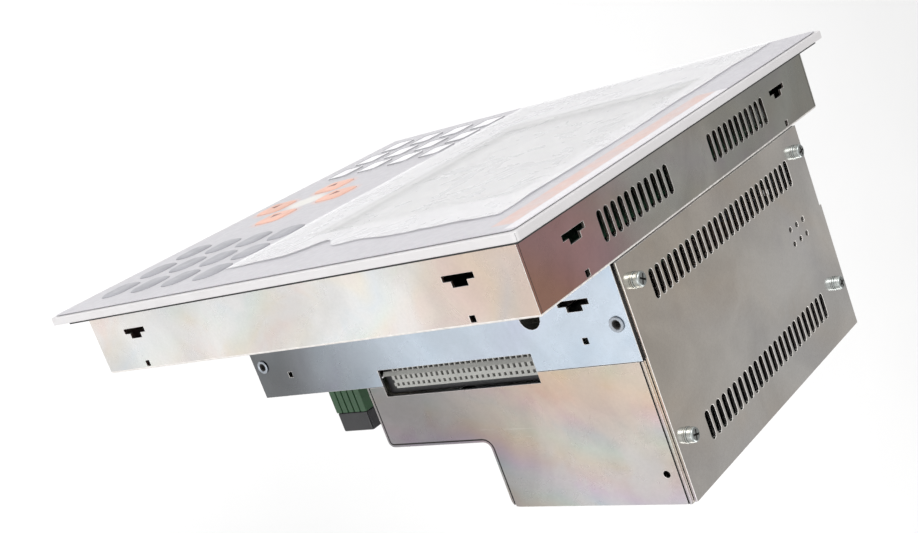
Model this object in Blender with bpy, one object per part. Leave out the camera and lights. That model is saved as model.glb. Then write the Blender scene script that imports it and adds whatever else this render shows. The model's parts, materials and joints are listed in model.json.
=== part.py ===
"""HMI touch panel in portrait format, for panel mounting.

The operator looks along +Y and +Z is up. The origin is the middle of the seal's lower run, on the face that
meets the control cabinet's door. Everything in front of the door has a negative Y.
"""

import math

import bmesh
import bpy

MM = 0.001

# Gaps between neighbours
CONTACT_GAP = 0.3 * MM  # between pieces that touch
SLIDE_GAP = 0.4 * MM  # around a moving key
SAME_POINT = 0.0001 * MM  # outline points closer than this are one
SLOT_FLAT = 0.001 * MM  # straight run left between a slot end's two arcs

# Bezel, the seal behind it and the foil on it
BEZEL_WIDTH = 323 * MM
BEZEL_HEIGHT = 344 * MM
BEZEL_THICKNESS = 4.5 * MM
BEZEL_CORNER = 2.5 * MM
SIDE_OVERHANG = 11.5 * MM
TOP_OVERHANG = 11.2 * MM
BOTTOM_OVERHANG = 18.3 * MM
SEAL_THICKNESS = 1.5 * MM
SEAL_WIDTH = 7 * MM
SEAL_CLEARANCE = 0.5 * MM
FOIL_THICKNESS = 0.5 * MM

# Display
WINDOW_WIDTH = 190 * MM
WINDOW_HEIGHT = 140 * MM
WINDOW_TOP_MARGIN = 45 * MM  # from the bezel's top edge
WINDOW_RECESS = 3 * MM  # glass behind the foil's face
WINDOW_SEAT = 3 * MM  # how far the glass reaches past its opening
WINDOW_CLEARANCE = 1.5 * MM
GLASS_THICKNESS = 1.1 * MM
LCD_BORDER = 9 * MM
LCD_DEPTH = 9 * MM
LCD_SCREEN_DEPTH = 1 * MM
FILM_THICKNESS = 0.3 * MM
FILM_TOP_MARGIN = 26 * MM
FILM_RIGHT_MARGIN = 27 * MM
FILM_LEFT_MARGIN = 1 * MM
FILM_KEY_CLEARANCE = 1.5 * MM

# Keys
KEY_WIDTH = 22 * MM
KEY_HEIGHT = 18 * MM
FUNCTION_KEY_CORNER = 4 * MM
NUMBER_KEY_CORNER = 7 * MM
KEY_PROUD = 1.2 * MM
KEY_EDGE = 1.6 * MM  # width of the rounded edge
KEY_STEM_LENGTH = 4.2 * MM
KEY_COLUMN_PITCH = 29 * MM
KEY_ROW_PITCH = 28 * MM
KEY_COLUMNS = 3
KEY_ROWS = 4
KEYPAD_SIDE_MARGIN = 31.5 * MM  # bezel edge to the outer column's centre
KEYPAD_LOW_MARGIN = 30 * MM  # bezel edge to the lowest row's centre
ARROW_SIZE = 22 * MM
ARROW_CORNER = 5 * MM
ARROW_REACH = 28 * MM  # centre of the cross to an arrow key's centre
ARROW_SHIFT = -6 * MM  # centre of the cross from the bezel's middle
ARROW_LOW_MARGIN = 54 * MM  # bezel edge to the centre of the cross
POCKET_MARGIN = 3 * MM  # bezel opening around a group of keys

# Sheet metal
SHEET = 1.5 * MM
PLATE_THICKNESS = 1.5 * MM
TRAY_DEPTH = 35.6 * MM
HOUSING_WIDTH = 211 * MM
HOUSING_SHIFT = -22.5 * MM
HOUSING_HEIGHT = 270.5 * MM
HOUSING_TOP_INSET = 6.8 * MM
MIDDLE_DEPTH = 51.2 * MM
COVER_STEP_DEPTH = 37 * MM  # rear cover, up to its step
COVER_FULL_DEPTH = 75.8 * MM
COVER_LONG_HEIGHT = 185 * MM  # rear cover below its top edge, in front of the step
COVER_SHORT_HEIGHT = 111.5 * MM  # the same, behind the step
FLANGE_WIDTH = 18 * MM
TRAY_OPENING_MARGIN = 14 * MM
FOLD_RADIUS = 4 * MM  # rear cover's lower corners
FOLD_GROOVE_WIDTH = 0.9 * MM
FOLD_GROOVE_DEPTH = 0.7 * MM
FOLD_GROOVE_OFFSET = 1.3 * MM
LIP_WIDTH = 0.6 * MM  # middle housing's wall, beside the groove along the plate
LIP_GROOVE_DEPTH = 0.9 * MM
PLATE_SIDE_INSET = 2.2 * MM
PLATE_JOG = 2 * MM
PLATE_FRONT_GAP = 2 * MM

# Slots for the clamps, and the small square holes behind them
CLAMP_BAR_LENGTH = 18.6 * MM
CLAMP_BAR_WIDTH = 3 * MM
CLAMP_STEM_LENGTH = 9.3 * MM
CLAMP_STEM_WIDTH = 3 * MM
CLAMP_FROM_FACE = 10.4 * MM  # seal face to the front edge of the slot
CLAMP_ROW_SPACING = 240.2 * MM  # between the two slots of a side wall
CLAMP_COLUMN_SPACING = 219 * MM  # between the two slots of the top wall
CLAMP_COLUMN_LOW = 37.2 * MM  # tray's lower edge to its lower slots
KEYHOLE_SIZE = 3.4 * MM
KEYHOLE_FROM_SLOT = 21.5 * MM
MIDDLE_SLOT_FROM_TRAY = 16.5 * MM
MIDDLE_SLOT_LOW = 28.7 * MM  # housing's lower edge to its lower slot
MIDDLE_SLOT_SPACING = 213.8 * MM
NOTCH_RADIUS = 6.5 * MM
NOTCH_FROM_TRAY = 22.5 * MM
NOTCH_FROM_TOP = 56.6 * MM

# Vents
VENT_PITCH = 6.35 * MM
VENT_WIDTH = 4.4 * MM
VENT_LENGTH = 15.6 * MM
TRAY_VENT_COUNT = 11
TRAY_VENT_FROM_FACE = 10.1 * MM
TRAY_VENT_FIRST = 87.2 * MM
TRAY_VENT_SECOND = -24.4 * MM
PLATE_VENT_FRONT_COUNT = 26
PLATE_VENT_REAR_COUNT = 24
PLATE_VENT_FRONT_INSET = 14.3 * MM
PLATE_VENT_FRONT_START = 13.2 * MM
PLATE_VENT_REAR_INSET = 17.6 * MM
SMALL_HOLE_RADIUS = 1.8 * MM
SMALL_HOLE_PITCH = 8.5 * MM
SMALL_HOLE_SIDE_INSET = 24.5 * MM
SMALL_HOLE_FRONT_INSET = 49 * MM

# Fixings
SCREW_HEAD_RADIUS = 4.2 * MM
SCREW_HEAD_HEIGHT = 4.2 * MM  # the pan head and its captive washers
SCREW_SHANK_RADIUS = 2 * MM
SCREW_SHANK_LENGTH = 8 * MM
SCREW_SIDE_INSET = 10.5 * MM
SCREW_FRONT_INSET = 13.1 * MM
SCREW_SPACING = 81.5 * MM
NUT_RADIUS = 4 * MM
NUT_HOLE_RADIUS = 2 * MM
NUT_PROUD = 0.7 * MM
NUT_LENGTH = 6 * MM
NUT_FROM_SLOT = 20.8 * MM
NUT_FROM_TRAY = 31.3 * MM
HOLE_CLEARANCE = 0.35 * MM
COVER_HOLE_RADIUS = 2 * MM
COVER_HOLE_FROM_REAR = 16.5 * MM
COVER_HOLE_FROM_TOP = 8.6 * MM

# Two-row connector in the right wall
PIN_PITCH = 3.81 * MM
PIN_COUNT = 26
PIN_OPENING = 2.3 * MM
PIN_OPENING_DEPTH = 4 * MM
PIN_ROW_PITCH = 4.2 * MM
PIN_ROWS = 3
CONNECTOR_DEPTH = 12 * MM
CONNECTOR_WIDTH = 11.6 * MM
CONNECTOR_RECESS = 1 * MM
CUTOUT_BEFORE_SEAM = 9.8 * MM
CUTOUT_BEHIND_SEAM = 6.3 * MM
CUTOUT_LOW_MARGIN = 13.2 * MM  # rear cover's lower edge to the cut-out
SHROUD_END = 8.6 * MM
SHROUD_STRIP = 3.4 * MM
SHROUD_RECESS = 4 * MM

# Power terminal in the rear wall
POLE_PITCH = 5.08 * MM
POLE_COUNT = 5
TERMINAL_HEIGHT = 12 * MM
TERMINAL_LOW = 26 * MM  # housing's lower edge to the first pole
TERMINAL_SIDE_INSET = 30 * MM
HEADER_DEPTH = 14 * MM
HEADER_BEHIND_WALL = 6 * MM
PLUG_DEPTH = 18 * MM
HOOD_DEPTH = 12 * MM
HOOD_CORNER = 1.5 * MM
RIB_DEPTH = 1 * MM
RIB_GAP = 1 * MM

# Boards and what stands on them
BOARD_THICKNESS = 1.6 * MM
BOARD_EDGE_CLEARANCE = 6 * MM
KEY_BOARD_GAP = 1.5 * MM
MAIN_BOARD_FROM_REAR = 8 * MM
STANDOFF_RADIUS = 3 * MM
STANDOFF_INSET = 12 * MM
INVERTER_SIZE = (120 * MM, 24 * MM)
BACKPLANE_FROM_TRAY = 20 * MM
SINK_FIN_COUNT = 8
SINK_FIN_PITCH = 8 * MM
SINK_FIN_WIDTH = 2 * MM
SINK_BASE = 4 * MM
SINK_HEIGHT = 22 * MM
SINK_LENGTH = 70 * MM

# Worked out from the sizes above
BEZEL_REAR = -SEAL_THICKNESS - CONTACT_GAP
BEZEL_FRONT = BEZEL_REAR - BEZEL_THICKNESS
FOIL_REAR = BEZEL_FRONT - CONTACT_GAP
FACE = FOIL_REAR - FOIL_THICKNESS
TRAY_LOW = SEAL_WIDTH / 2 + SEAL_CLEARANCE
BEZEL_LOW = TRAY_LOW - BOTTOM_OVERHANG
BEZEL_TOP = BEZEL_LOW + BEZEL_HEIGHT
TRAY_TOP = BEZEL_TOP - TOP_OVERHANG
TRAY_HALF = BEZEL_WIDTH / 2 - SIDE_OVERHANG
WINDOW_TOP = BEZEL_TOP - WINDOW_TOP_MARGIN
WINDOW_LOW = WINDOW_TOP - WINDOW_HEIGHT
GLASS_FRONT = FACE + WINDOW_RECESS
HOUSING_RIGHT = HOUSING_SHIFT + HOUSING_WIDTH / 2
HOUSING_LEFT = HOUSING_SHIFT - HOUSING_WIDTH / 2
HOUSING_TOP = TRAY_TOP - HOUSING_TOP_INSET
HOUSING_LOW = HOUSING_TOP - HOUSING_HEIGHT
MIDDLE_FRONT = TRAY_DEPTH + CONTACT_GAP
SEAM = MIDDLE_FRONT + MIDDLE_DEPTH
COVER_FRONT = SEAM + CONTACT_GAP
COVER_STEP = COVER_FRONT + COVER_STEP_DEPTH
COVER_REAR = COVER_FRONT + COVER_FULL_DEPTH
COVER_LONG_LOW = HOUSING_TOP - COVER_LONG_HEIGHT
COVER_SHORT_LOW = HOUSING_TOP - COVER_SHORT_HEIGHT
PLATE_LOW = HOUSING_TOP + CONTACT_GAP
PLATE_TOP = PLATE_LOW + PLATE_THICKNESS
PLATE_RIGHT = HOUSING_RIGHT - PLATE_SIDE_INSET
PLATE_LEFT = HOUSING_LEFT
PLATE_FRONT = MIDDLE_FRONT + PLATE_FRONT_GAP
KEY_TOP_ROW = BEZEL_LOW + KEYPAD_LOW_MARGIN + (KEY_ROWS - 1) * KEY_ROW_PITCH
CUTOUT_LOW = COVER_LONG_LOW + CUTOUT_LOW_MARGIN
CONNECTOR_LOW = CUTOUT_LOW + CONTACT_GAP + SHROUD_END
CONNECTOR_HIGH = CONNECTOR_LOW + PIN_PITCH * PIN_COUNT
CUTOUT_HIGH = CONNECTOR_HIGH + CONTACT_GAP


def clear_scene():
    for thing in list(bpy.data.objects):
        bpy.data.objects.remove(thing, do_unlink=True)


def make_material(name, colour, roughness, metallic=0.0):
    material = bpy.data.materials.new(name)
    material.use_nodes = True
    shader = material.node_tree.nodes["Principled BSDF"]
    shader.inputs["Base Color"].default_value = (*colour, 1.0)
    shader.inputs["Roughness"].default_value = roughness
    shader.inputs["Metallic"].default_value = metallic
    material.diffuse_color = (*colour, 1.0)
    return material


def make_object(name, mesh_builder, material, origin=(0.0, 0.0, 0.0)):
    """A named object made from a bmesh, with its origin where a joint needs it."""
    mesh_builder.normal_update()
    bmesh.ops.recalc_face_normals(mesh_builder, faces=mesh_builder.faces)
    bmesh.ops.translate(mesh_builder, verts=mesh_builder.verts, vec=[-value for value in origin])
    mesh = bpy.data.meshes.new(name)
    mesh_builder.to_mesh(mesh)
    mesh_builder.free()
    made = bpy.data.objects.new(name, mesh)
    made.location = origin
    bpy.context.scene.collection.objects.link(made)
    if material:
        mesh.materials.append(material)
    return made


def on_axis(axis, along, first, second):
    """The point at a height along an axis whose outline coordinates are the other two, in X, Y, Z order."""
    if axis == "X":
        return (along, first, second)
    if axis == "Y":
        return (first, along, second)
    return (first, second, along)


def rectangle(first_low, first_high, second_low, second_high):
    return [
        (first_low, second_low),
        (first_high, second_low),
        (first_high, second_high),
        (first_low, second_high),
    ]


def rounded(middle, size, radius, steps=3):
    """A rectangle with round corners, each of this many straight pieces."""
    half_first = size[0] / 2 - radius
    half_second = size[1] / 2 - radius
    points = []
    for corner, (side_first, side_second) in enumerate(((1, 1), (-1, 1), (-1, -1), (1, -1))):
        for step in range(steps + 1):
            angle = math.radians(90 * corner + 90 * step / steps)
            points.append(
                (
                    middle[0] + side_first * half_first + radius * math.cos(angle),
                    middle[1] + side_second * half_second + radius * math.sin(angle),
                )
            )
    unique = []
    for point in points:
        if not unique or math.dist(point, unique[-1]) > SAME_POINT:
            unique.append(point)
    if math.dist(unique[0], unique[-1]) < SAME_POINT:
        unique.pop()
    return unique


def circle(middle, radius, sides=16):
    turn = 2 * math.pi / sides
    return [
        (middle[0] + radius * math.cos(turn * side), middle[1] + radius * math.sin(turn * side))
        for side in range(sides)
    ]


def filleted(corners, steps=4):
    """An outline whose corners, each a point and a radius, are square or rounded by that radius."""
    points = []
    for index, (corner, radius) in enumerate(corners):
        if not radius:
            points.append(corner)
            continue
        sides = []
        for neighbour in (corners[index - 1][0], corners[index + 1][0]):
            length = math.dist(neighbour, corner)
            sides.append([(there - here) / length for there, here in zip(neighbour, corner)])
        for step in range(steps + 1):
            angle = math.radians(90 * step / steps)
            back = 1 - math.sin(angle)
            ahead = 1 - math.cos(angle)
            points.append(
                tuple(
                    here + radius * (back * first + ahead * second)
                    for here, first, second in zip(corner, *sides)
                )
            )
    return points


def add_prism(builder, outline, axis, start, end, holes=()):
    """An outline with holes, filled and extruded from start to end along an axis."""
    edges = []
    for loop in (outline, *holes):
        corners = [builder.verts.new(on_axis(axis, start, *point)) for point in loop]
        edges += [builder.edges.new((corners[i - 1], corners[i])) for i in range(len(corners))]
    filled = bmesh.ops.triangle_fill(builder, edges=edges, use_beauty=True)
    faces = [item for item in filled["geom"] if isinstance(item, bmesh.types.BMFace)]
    raised = bmesh.ops.extrude_face_region(builder, geom=faces)
    moved = [item for item in raised["geom"] if isinstance(item, bmesh.types.BMVert)]
    bmesh.ops.translate(builder, verts=moved, vec=on_axis(axis, end - start, 0, 0))


def prism(name, outline, axis, start, end, material, holes=(), origin=(0.0, 0.0, 0.0)):
    builder = bmesh.new()
    add_prism(builder, outline, axis, start, end, holes)
    return make_object(name, builder, material, origin)


def block(name, low, high, material):
    return prism(name, rectangle(low[0], high[0], low[1], high[1]), "Z", low[2], high[2], material)


def loft(name, rings, material, origin=(0.0, 0.0, 0.0), smooth_angle=35):
    """A skin through rings of equally many points, closed at both ends."""
    builder = bmesh.new()
    loops = [[builder.verts.new(point) for point in ring] for ring in rings]
    for lower, upper in zip(loops, loops[1:]):
        for i in range(len(lower)):
            builder.faces.new((lower[i - 1], lower[i], upper[i], upper[i - 1]))
    builder.faces.new(loops[0])
    builder.faces.new(loops[-1])
    made = make_object(name, builder, material, origin)
    made.data.shade_smooth()
    made.data.set_sharp_from_angle(angle=math.radians(smooth_angle))
    return made


def cut(target, shapes):
    """Cuts prisms, each given as outline, axis, start and end, out of an object."""
    builder = bmesh.new()
    for shape in shapes:
        add_prism(builder, *shape)
    cutter = make_object(target.name + "_cutter", builder, None)
    cutter.hide_render = True
    cutter.display_type = "WIRE"
    difference = target.modifiers.new("openings", "BOOLEAN")
    difference.operation = "DIFFERENCE"
    difference.object = cutter
    difference.solver = "EXACT"
    difference.use_self = True


def pad_centres(side):
    """Key centres of the left (-1) or right (+1) pad, row by row from the top, each row from the left."""
    outer = side * (BEZEL_WIDTH / 2 - KEYPAD_SIDE_MARGIN)
    columns = sorted(outer - side * KEY_COLUMN_PITCH * column for column in range(KEY_COLUMNS))
    rows = [KEY_TOP_ROW - KEY_ROW_PITCH * row for row in range(KEY_ROWS)]
    return [(column, row) for row in rows for column in columns]


def arrow_centres():
    middle = (ARROW_SHIFT, BEZEL_LOW + ARROW_LOW_MARGIN)
    directions = {"up": (0, 1), "left": (-1, 0), "right": (1, 0), "down": (0, -1)}
    return {
        name: (middle[0] + ARROW_REACH * step[0], middle[1] + ARROW_REACH * step[1])
        for name, step in directions.items()
    }


def key_layout():
    """Every key's name, centre, size and corner radius."""
    keys = []
    pads = (("function_key", -1, FUNCTION_KEY_CORNER), ("number_key", 1, NUMBER_KEY_CORNER))
    for prefix, side, corner in pads:
        for index, centre in enumerate(pad_centres(side), 1):
            keys.append((f"{prefix}_{index:02d}", centre, (KEY_WIDTH, KEY_HEIGHT), corner))
    for name, centre in arrow_centres().items():
        keys.append((f"arrow_key_{name}", centre, (ARROW_SIZE, ARROW_SIZE), ARROW_CORNER))
    return keys


def grown(size, margin):
    return (size[0] + 2 * margin, size[1] + 2 * margin)


def group_opening(centres, size):
    """The rectangle around a group of keys."""
    firsts = [centre[0] for centre in centres]
    seconds = [centre[1] for centre in centres]
    reach = (size[0] / 2 + POCKET_MARGIN, size[1] / 2 + POCKET_MARGIN)
    return rectangle(
        min(firsts) - reach[0],
        max(firsts) + reach[0],
        min(seconds) - reach[1],
        max(seconds) + reach[1],
    )


def cross_opening():
    """A plus-shaped outline around the arrow keys."""
    centres = arrow_centres()
    middle = (centres["up"][0], centres["left"][1])
    narrow = ARROW_SIZE / 2 + POCKET_MARGIN
    wide = ARROW_REACH + narrow
    corners = [(narrow, wide), (narrow, narrow), (wide, narrow)]
    corners += [(wide, -narrow), (narrow, -narrow), (narrow, -wide)]
    half = corners + [(-first, -second) for first, second in corners]
    return [(middle[0] + first, middle[1] + second) for first, second in half]


def window_outline(margin):
    size = grown((WINDOW_WIDTH, WINDOW_HEIGHT), margin)
    return rounded((0, WINDOW_LOW + WINDOW_HEIGHT / 2), size, BEZEL_CORNER)


def bezel_outline():
    middle = (0, (BEZEL_LOW + BEZEL_TOP) / 2)
    return rounded(middle, (BEZEL_WIDTH, BEZEL_HEIGHT), BEZEL_CORNER)


def build_front(paint, foil, rubber, glass, film):
    """Bezel, foil, seal, glass and the shipping film."""
    pads = [group_opening(pad_centres(side), (KEY_WIDTH, KEY_HEIGHT)) for side in (-1, 1)]
    opening = window_outline(0)
    bezel = prism(
        "bezel_frame",
        bezel_outline(),
        "Y",
        BEZEL_FRONT,
        BEZEL_REAR,
        paint,
        holes=[opening, *pads, cross_opening()],
    )
    seat = window_outline(WINDOW_SEAT + CONTACT_GAP)
    cut(bezel, [(seat, "Y", GLASS_FRONT - CONTACT_GAP, BEZEL_REAR + MM)])
    holes = [
        rounded(centre, grown(size, SLIDE_GAP), radius + SLIDE_GAP)
        for _, centre, size, radius in key_layout()
    ]
    prism("front_foil", bezel_outline(), "Y", FACE, FOIL_REAR, foil, holes=[opening, *holes])
    seal_inner = TRAY_HALF + SEAL_CLEARANCE
    seal_outer = seal_inner + SEAL_WIDTH
    seal_top = TRAY_TOP + SEAL_CLEARANCE
    prism(
        "panel_seal",
        rectangle(-seal_outer, seal_outer, -SEAL_WIDTH / 2, seal_top + SEAL_WIDTH),
        "Y",
        -SEAL_THICKNESS,
        0,
        rubber,
        holes=[rectangle(-seal_inner, seal_inner, SEAL_WIDTH / 2, seal_top)],
    )
    prism(
        "display_window",
        window_outline(WINDOW_SEAT),
        "Y",
        GLASS_FRONT,
        GLASS_FRONT + GLASS_THICKNESS,
        glass,
    )
    film_left = -BEZEL_WIDTH / 2 + FILM_LEFT_MARGIN
    film_right = BEZEL_WIDTH / 2 - FILM_RIGHT_MARGIN
    film_low = KEY_TOP_ROW + KEY_HEIGHT / 2 + FILM_KEY_CLEARANCE
    film_rear = FACE - CONTACT_GAP
    prism(
        "protective_film",
        rectangle(film_left, film_right, film_low, BEZEL_TOP - FILM_TOP_MARGIN),
        "Y",
        film_rear - FILM_THICKNESS,
        film_rear,
        film,
    )


def build_keys(white, grey, orange):
    """Each key slides inwards along its own centre line."""
    materials = {"function": white, "number": grey, "arrow": orange}
    for name, centre, size, radius in key_layout():
        material = materials[name.split("_")[0]]
        sections = (
            (FACE + KEY_STEM_LENGTH, 0.0),
            (FACE - KEY_PROUD * 0.35, 0.0),
            (FACE - KEY_PROUD * 0.8, KEY_EDGE * 0.4),
            (FACE - KEY_PROUD, KEY_EDGE),
        )
        rings = [
            [(x, depth, z) for x, z in rounded(centre, grown(size, -inset), radius - inset)]
            for depth, inset in sections
        ]
        loft(name, rings, material, origin=(centre[0], FACE, centre[1]))


def clamp_slot(middle, from_face):
    """The T-shaped slot of a clamp: along is across the wall, and depth runs to the rear."""
    bar = CLAMP_BAR_LENGTH / 2
    stem = CLAMP_STEM_LENGTH / 2
    shoulder = from_face + CLAMP_BAR_WIDTH
    foot = shoulder + CLAMP_STEM_WIDTH
    half = [(bar, from_face), (bar, shoulder), (stem, shoulder), (stem, foot)]
    mirrored = [(-along, depth) for along, depth in reversed(half)]
    return [(middle + along, depth) for along, depth in half + mirrored]


def square_hole(middle, depth):
    half = KEYHOLE_SIZE / 2
    return rectangle(middle - half, middle + half, depth - half, depth + half)


def swapped(outline):
    """Turns (along, depth) into (depth, along), as a side wall needs it."""
    return [(second, first) for first, second in outline]


def wall_openings(middles, from_face, axis, start, end):
    """Clamp slots and their square holes, through a wall that is square to an axis."""
    shapes = []
    for middle in middles:
        for outline in (
            clamp_slot(middle, from_face),
            square_hole(middle, from_face + KEYHOLE_FROM_SLOT),
        ):
            shapes.append((swapped(outline) if axis == "X" else outline, axis, start, end))
    return shapes


def vent_row(first, count, depth_start):
    """Slots side by side towards -X, each with round ends."""
    return [
        rounded(
            (first - VENT_PITCH * index, depth_start + VENT_LENGTH / 2),
            (VENT_WIDTH, VENT_LENGTH),
            VENT_WIDTH / 2 - SLOT_FLAT,
            steps=2,
        )
        for index in range(count)
    ]


def build_tray(zinc):
    """The front housing: four walls and a rear wall with an opening into the middle housing."""
    tray = block(
        "front_tray",
        (-TRAY_HALF, BEZEL_REAR + CONTACT_GAP, TRAY_LOW),
        (TRAY_HALF, TRAY_DEPTH, TRAY_TOP),
        zinc,
    )
    past = 2 * SHEET
    inside = rectangle(-TRAY_HALF + SHEET, TRAY_HALF - SHEET, TRAY_LOW + SHEET, TRAY_TOP - SHEET)
    opening = rectangle(
        HOUSING_LEFT + TRAY_OPENING_MARGIN,
        HOUSING_RIGHT - TRAY_OPENING_MARGIN,
        HOUSING_LOW + TRAY_OPENING_MARGIN,
        HOUSING_TOP - TRAY_OPENING_MARGIN,
    )
    shapes = [(inside, "Y", BEZEL_REAR - past, TRAY_DEPTH - SHEET)]
    shapes.append((opening, "Y", TRAY_DEPTH - SHEET - MM, TRAY_DEPTH + past))
    lower = TRAY_LOW + CLAMP_COLUMN_LOW
    sides = (lower, lower + CLAMP_ROW_SPACING)
    across = (-CLAMP_COLUMN_SPACING / 2, CLAMP_COLUMN_SPACING / 2)
    for side in (-1, 1):
        wall = side * TRAY_HALF
        shapes += wall_openings(sides, CLAMP_FROM_FACE, "X", wall - past, wall + past)
    for wall in (TRAY_LOW, TRAY_TOP):
        shapes += wall_openings(across, CLAMP_FROM_FACE, "Z", wall - past, wall + past)
        for first in (TRAY_VENT_FIRST, TRAY_VENT_SECOND):
            for outline in vent_row(first, TRAY_VENT_COUNT, TRAY_VENT_FROM_FACE):
                shapes.append((outline, "Z", wall - past, wall + past))
    cut(tray, shapes)


def connector_cutout():
    return rectangle(SEAM - CUTOUT_BEFORE_SEAM, SEAM + CUTOUT_BEHIND_SEAM, CUTOUT_LOW, CUTOUT_HIGH)


def screw_places():
    """The four screws of the top plate, seen from above."""
    front = PLATE_FRONT + SCREW_FRONT_INSET
    sides = (PLATE_RIGHT - SCREW_SIDE_INSET, PLATE_LEFT + SCREW_SIDE_INSET)
    return [(side, depth) for depth in (front, front + SCREW_SPACING) for side in sides]


def terminal_middle():
    poles_height = POLE_COUNT * POLE_PITCH
    return (HOUSING_RIGHT - TERMINAL_SIDE_INSET, HOUSING_LOW + TERMINAL_LOW + poles_height / 2)


def terminal_outline(margin):
    across, middle = terminal_middle()
    half = (TERMINAL_HEIGHT / 2 + margin, POLE_COUNT * POLE_PITCH / 2 + margin)
    return rectangle(across - half[0], across + half[0], middle - half[1], middle + half[1])


def nut_places():
    """The press-in nuts of the right wall, as depth and height."""
    low = HOUSING_LOW + MIDDLE_SLOT_LOW - NUT_FROM_SLOT
    high = HOUSING_LOW + MIDDLE_SLOT_LOW + MIDDLE_SLOT_SPACING + NUT_FROM_SLOT
    depth = MIDDLE_FRONT + NUT_FROM_TRAY
    return {"lower": (depth, low), "upper": (depth, high)}


def build_middle_housing(zinc):
    """The frame of the card cage: walls all round, flanges for the plate, and a short rear wall."""
    middle = block(
        "middle_housing",
        (HOUSING_LEFT, MIDDLE_FRONT, HOUSING_LOW),
        (HOUSING_RIGHT, SEAM, HOUSING_TOP),
        zinc,
    )
    past = 2 * SHEET
    left = HOUSING_LEFT + SHEET
    right = HOUSING_RIGHT - SHEET
    low = HOUSING_LOW + SHEET
    inside = rectangle(left, right, low, HOUSING_TOP - SHEET)
    behind = rectangle(left, right, COVER_LONG_LOW, HOUSING_TOP - SHEET)
    above = rectangle(
        HOUSING_LEFT + FLANGE_WIDTH,
        HOUSING_RIGHT - FLANGE_WIDTH,
        MIDDLE_FRONT + FLANGE_WIDTH / 2,
        SEAM + past,
    )
    shapes = [
        (inside, "Y", MIDDLE_FRONT - past, SEAM - SHEET),
        (behind, "Y", SEAM - SHEET - MM, SEAM + past),
        (above, "Z", HOUSING_TOP - 2 * SHEET, HOUSING_TOP + past),
        (connector_cutout(), "X", right - past, HOUSING_RIGHT + past),
        (terminal_outline(HOLE_CLEARANCE), "Y", SEAM - 2 * SHEET, SEAM + past),
    ]
    lower = HOUSING_LOW + MIDDLE_SLOT_LOW
    slots = (lower, lower + MIDDLE_SLOT_SPACING)
    slot_front = MIDDLE_FRONT + MIDDLE_SLOT_FROM_TRAY
    for side in (HOUSING_LEFT, HOUSING_RIGHT):
        shapes += wall_openings(slots, slot_front, "X", side - past, side + past)
    for place in nut_places().values():
        seat = circle(place, NUT_RADIUS - NUT_PROUD)
        shapes.append((seat, "X", HOUSING_RIGHT - past, HOUSING_RIGHT + past))
    notch = (MIDDLE_FRONT + NOTCH_FROM_TRAY, HOUSING_TOP - NOTCH_FROM_TOP)
    shapes.append((circle(notch, NOTCH_RADIUS), "X", HOUSING_RIGHT - past, HOUSING_RIGHT + past))
    for place in screw_places()[:2]:
        hole = circle(place, SCREW_SHANK_RADIUS + HOLE_CLEARANCE, sides=12)
        shapes.append((hole, "Z", HOUSING_TOP - 2 * SHEET, HOUSING_TOP + past))
    lip_groove = rectangle(PLATE_RIGHT, HOUSING_RIGHT - LIP_WIDTH, MIDDLE_FRONT - past, SEAM + past)
    shapes.append((lip_groove, "Z", HOUSING_TOP - LIP_GROOVE_DEPTH, HOUSING_TOP + past))
    cut(middle, shapes)


def cover_outline(wall):
    """The stepped side view of the rear cover; wall moves the rear and lower faces inwards."""
    front = COVER_FRONT - 2 * wall
    top = HOUSING_TOP - wall
    corners = [
        ((front, COVER_LONG_LOW + wall), 0),
        ((COVER_STEP - wall, COVER_LONG_LOW + wall), FOLD_RADIUS - wall),
        ((COVER_STEP - wall, COVER_SHORT_LOW + wall), FOLD_RADIUS + wall),
        ((COVER_REAR - wall, COVER_SHORT_LOW + wall), FOLD_RADIUS - wall),
        ((COVER_REAR - wall, top), 0),
        ((front, top), 0),
    ]
    return filleted(corners)


def fold_groove(start, end):
    """The joint line beside the folded lower edges of the rear cover's right wall."""
    sides = []
    for inset in (FOLD_GROOVE_OFFSET, FOLD_GROOVE_OFFSET + FOLD_GROOVE_WIDTH):
        corners = [
            ((start, COVER_LONG_LOW + inset), 0),
            ((COVER_STEP - inset, COVER_LONG_LOW + inset), FOLD_RADIUS - inset),
            ((COVER_STEP - inset, COVER_SHORT_LOW + inset), FOLD_RADIUS + inset),
            ((end, COVER_SHORT_LOW + inset), 0),
        ]
        sides.append(filleted(corners))
    return sides[0] + sides[1][::-1]


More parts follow.
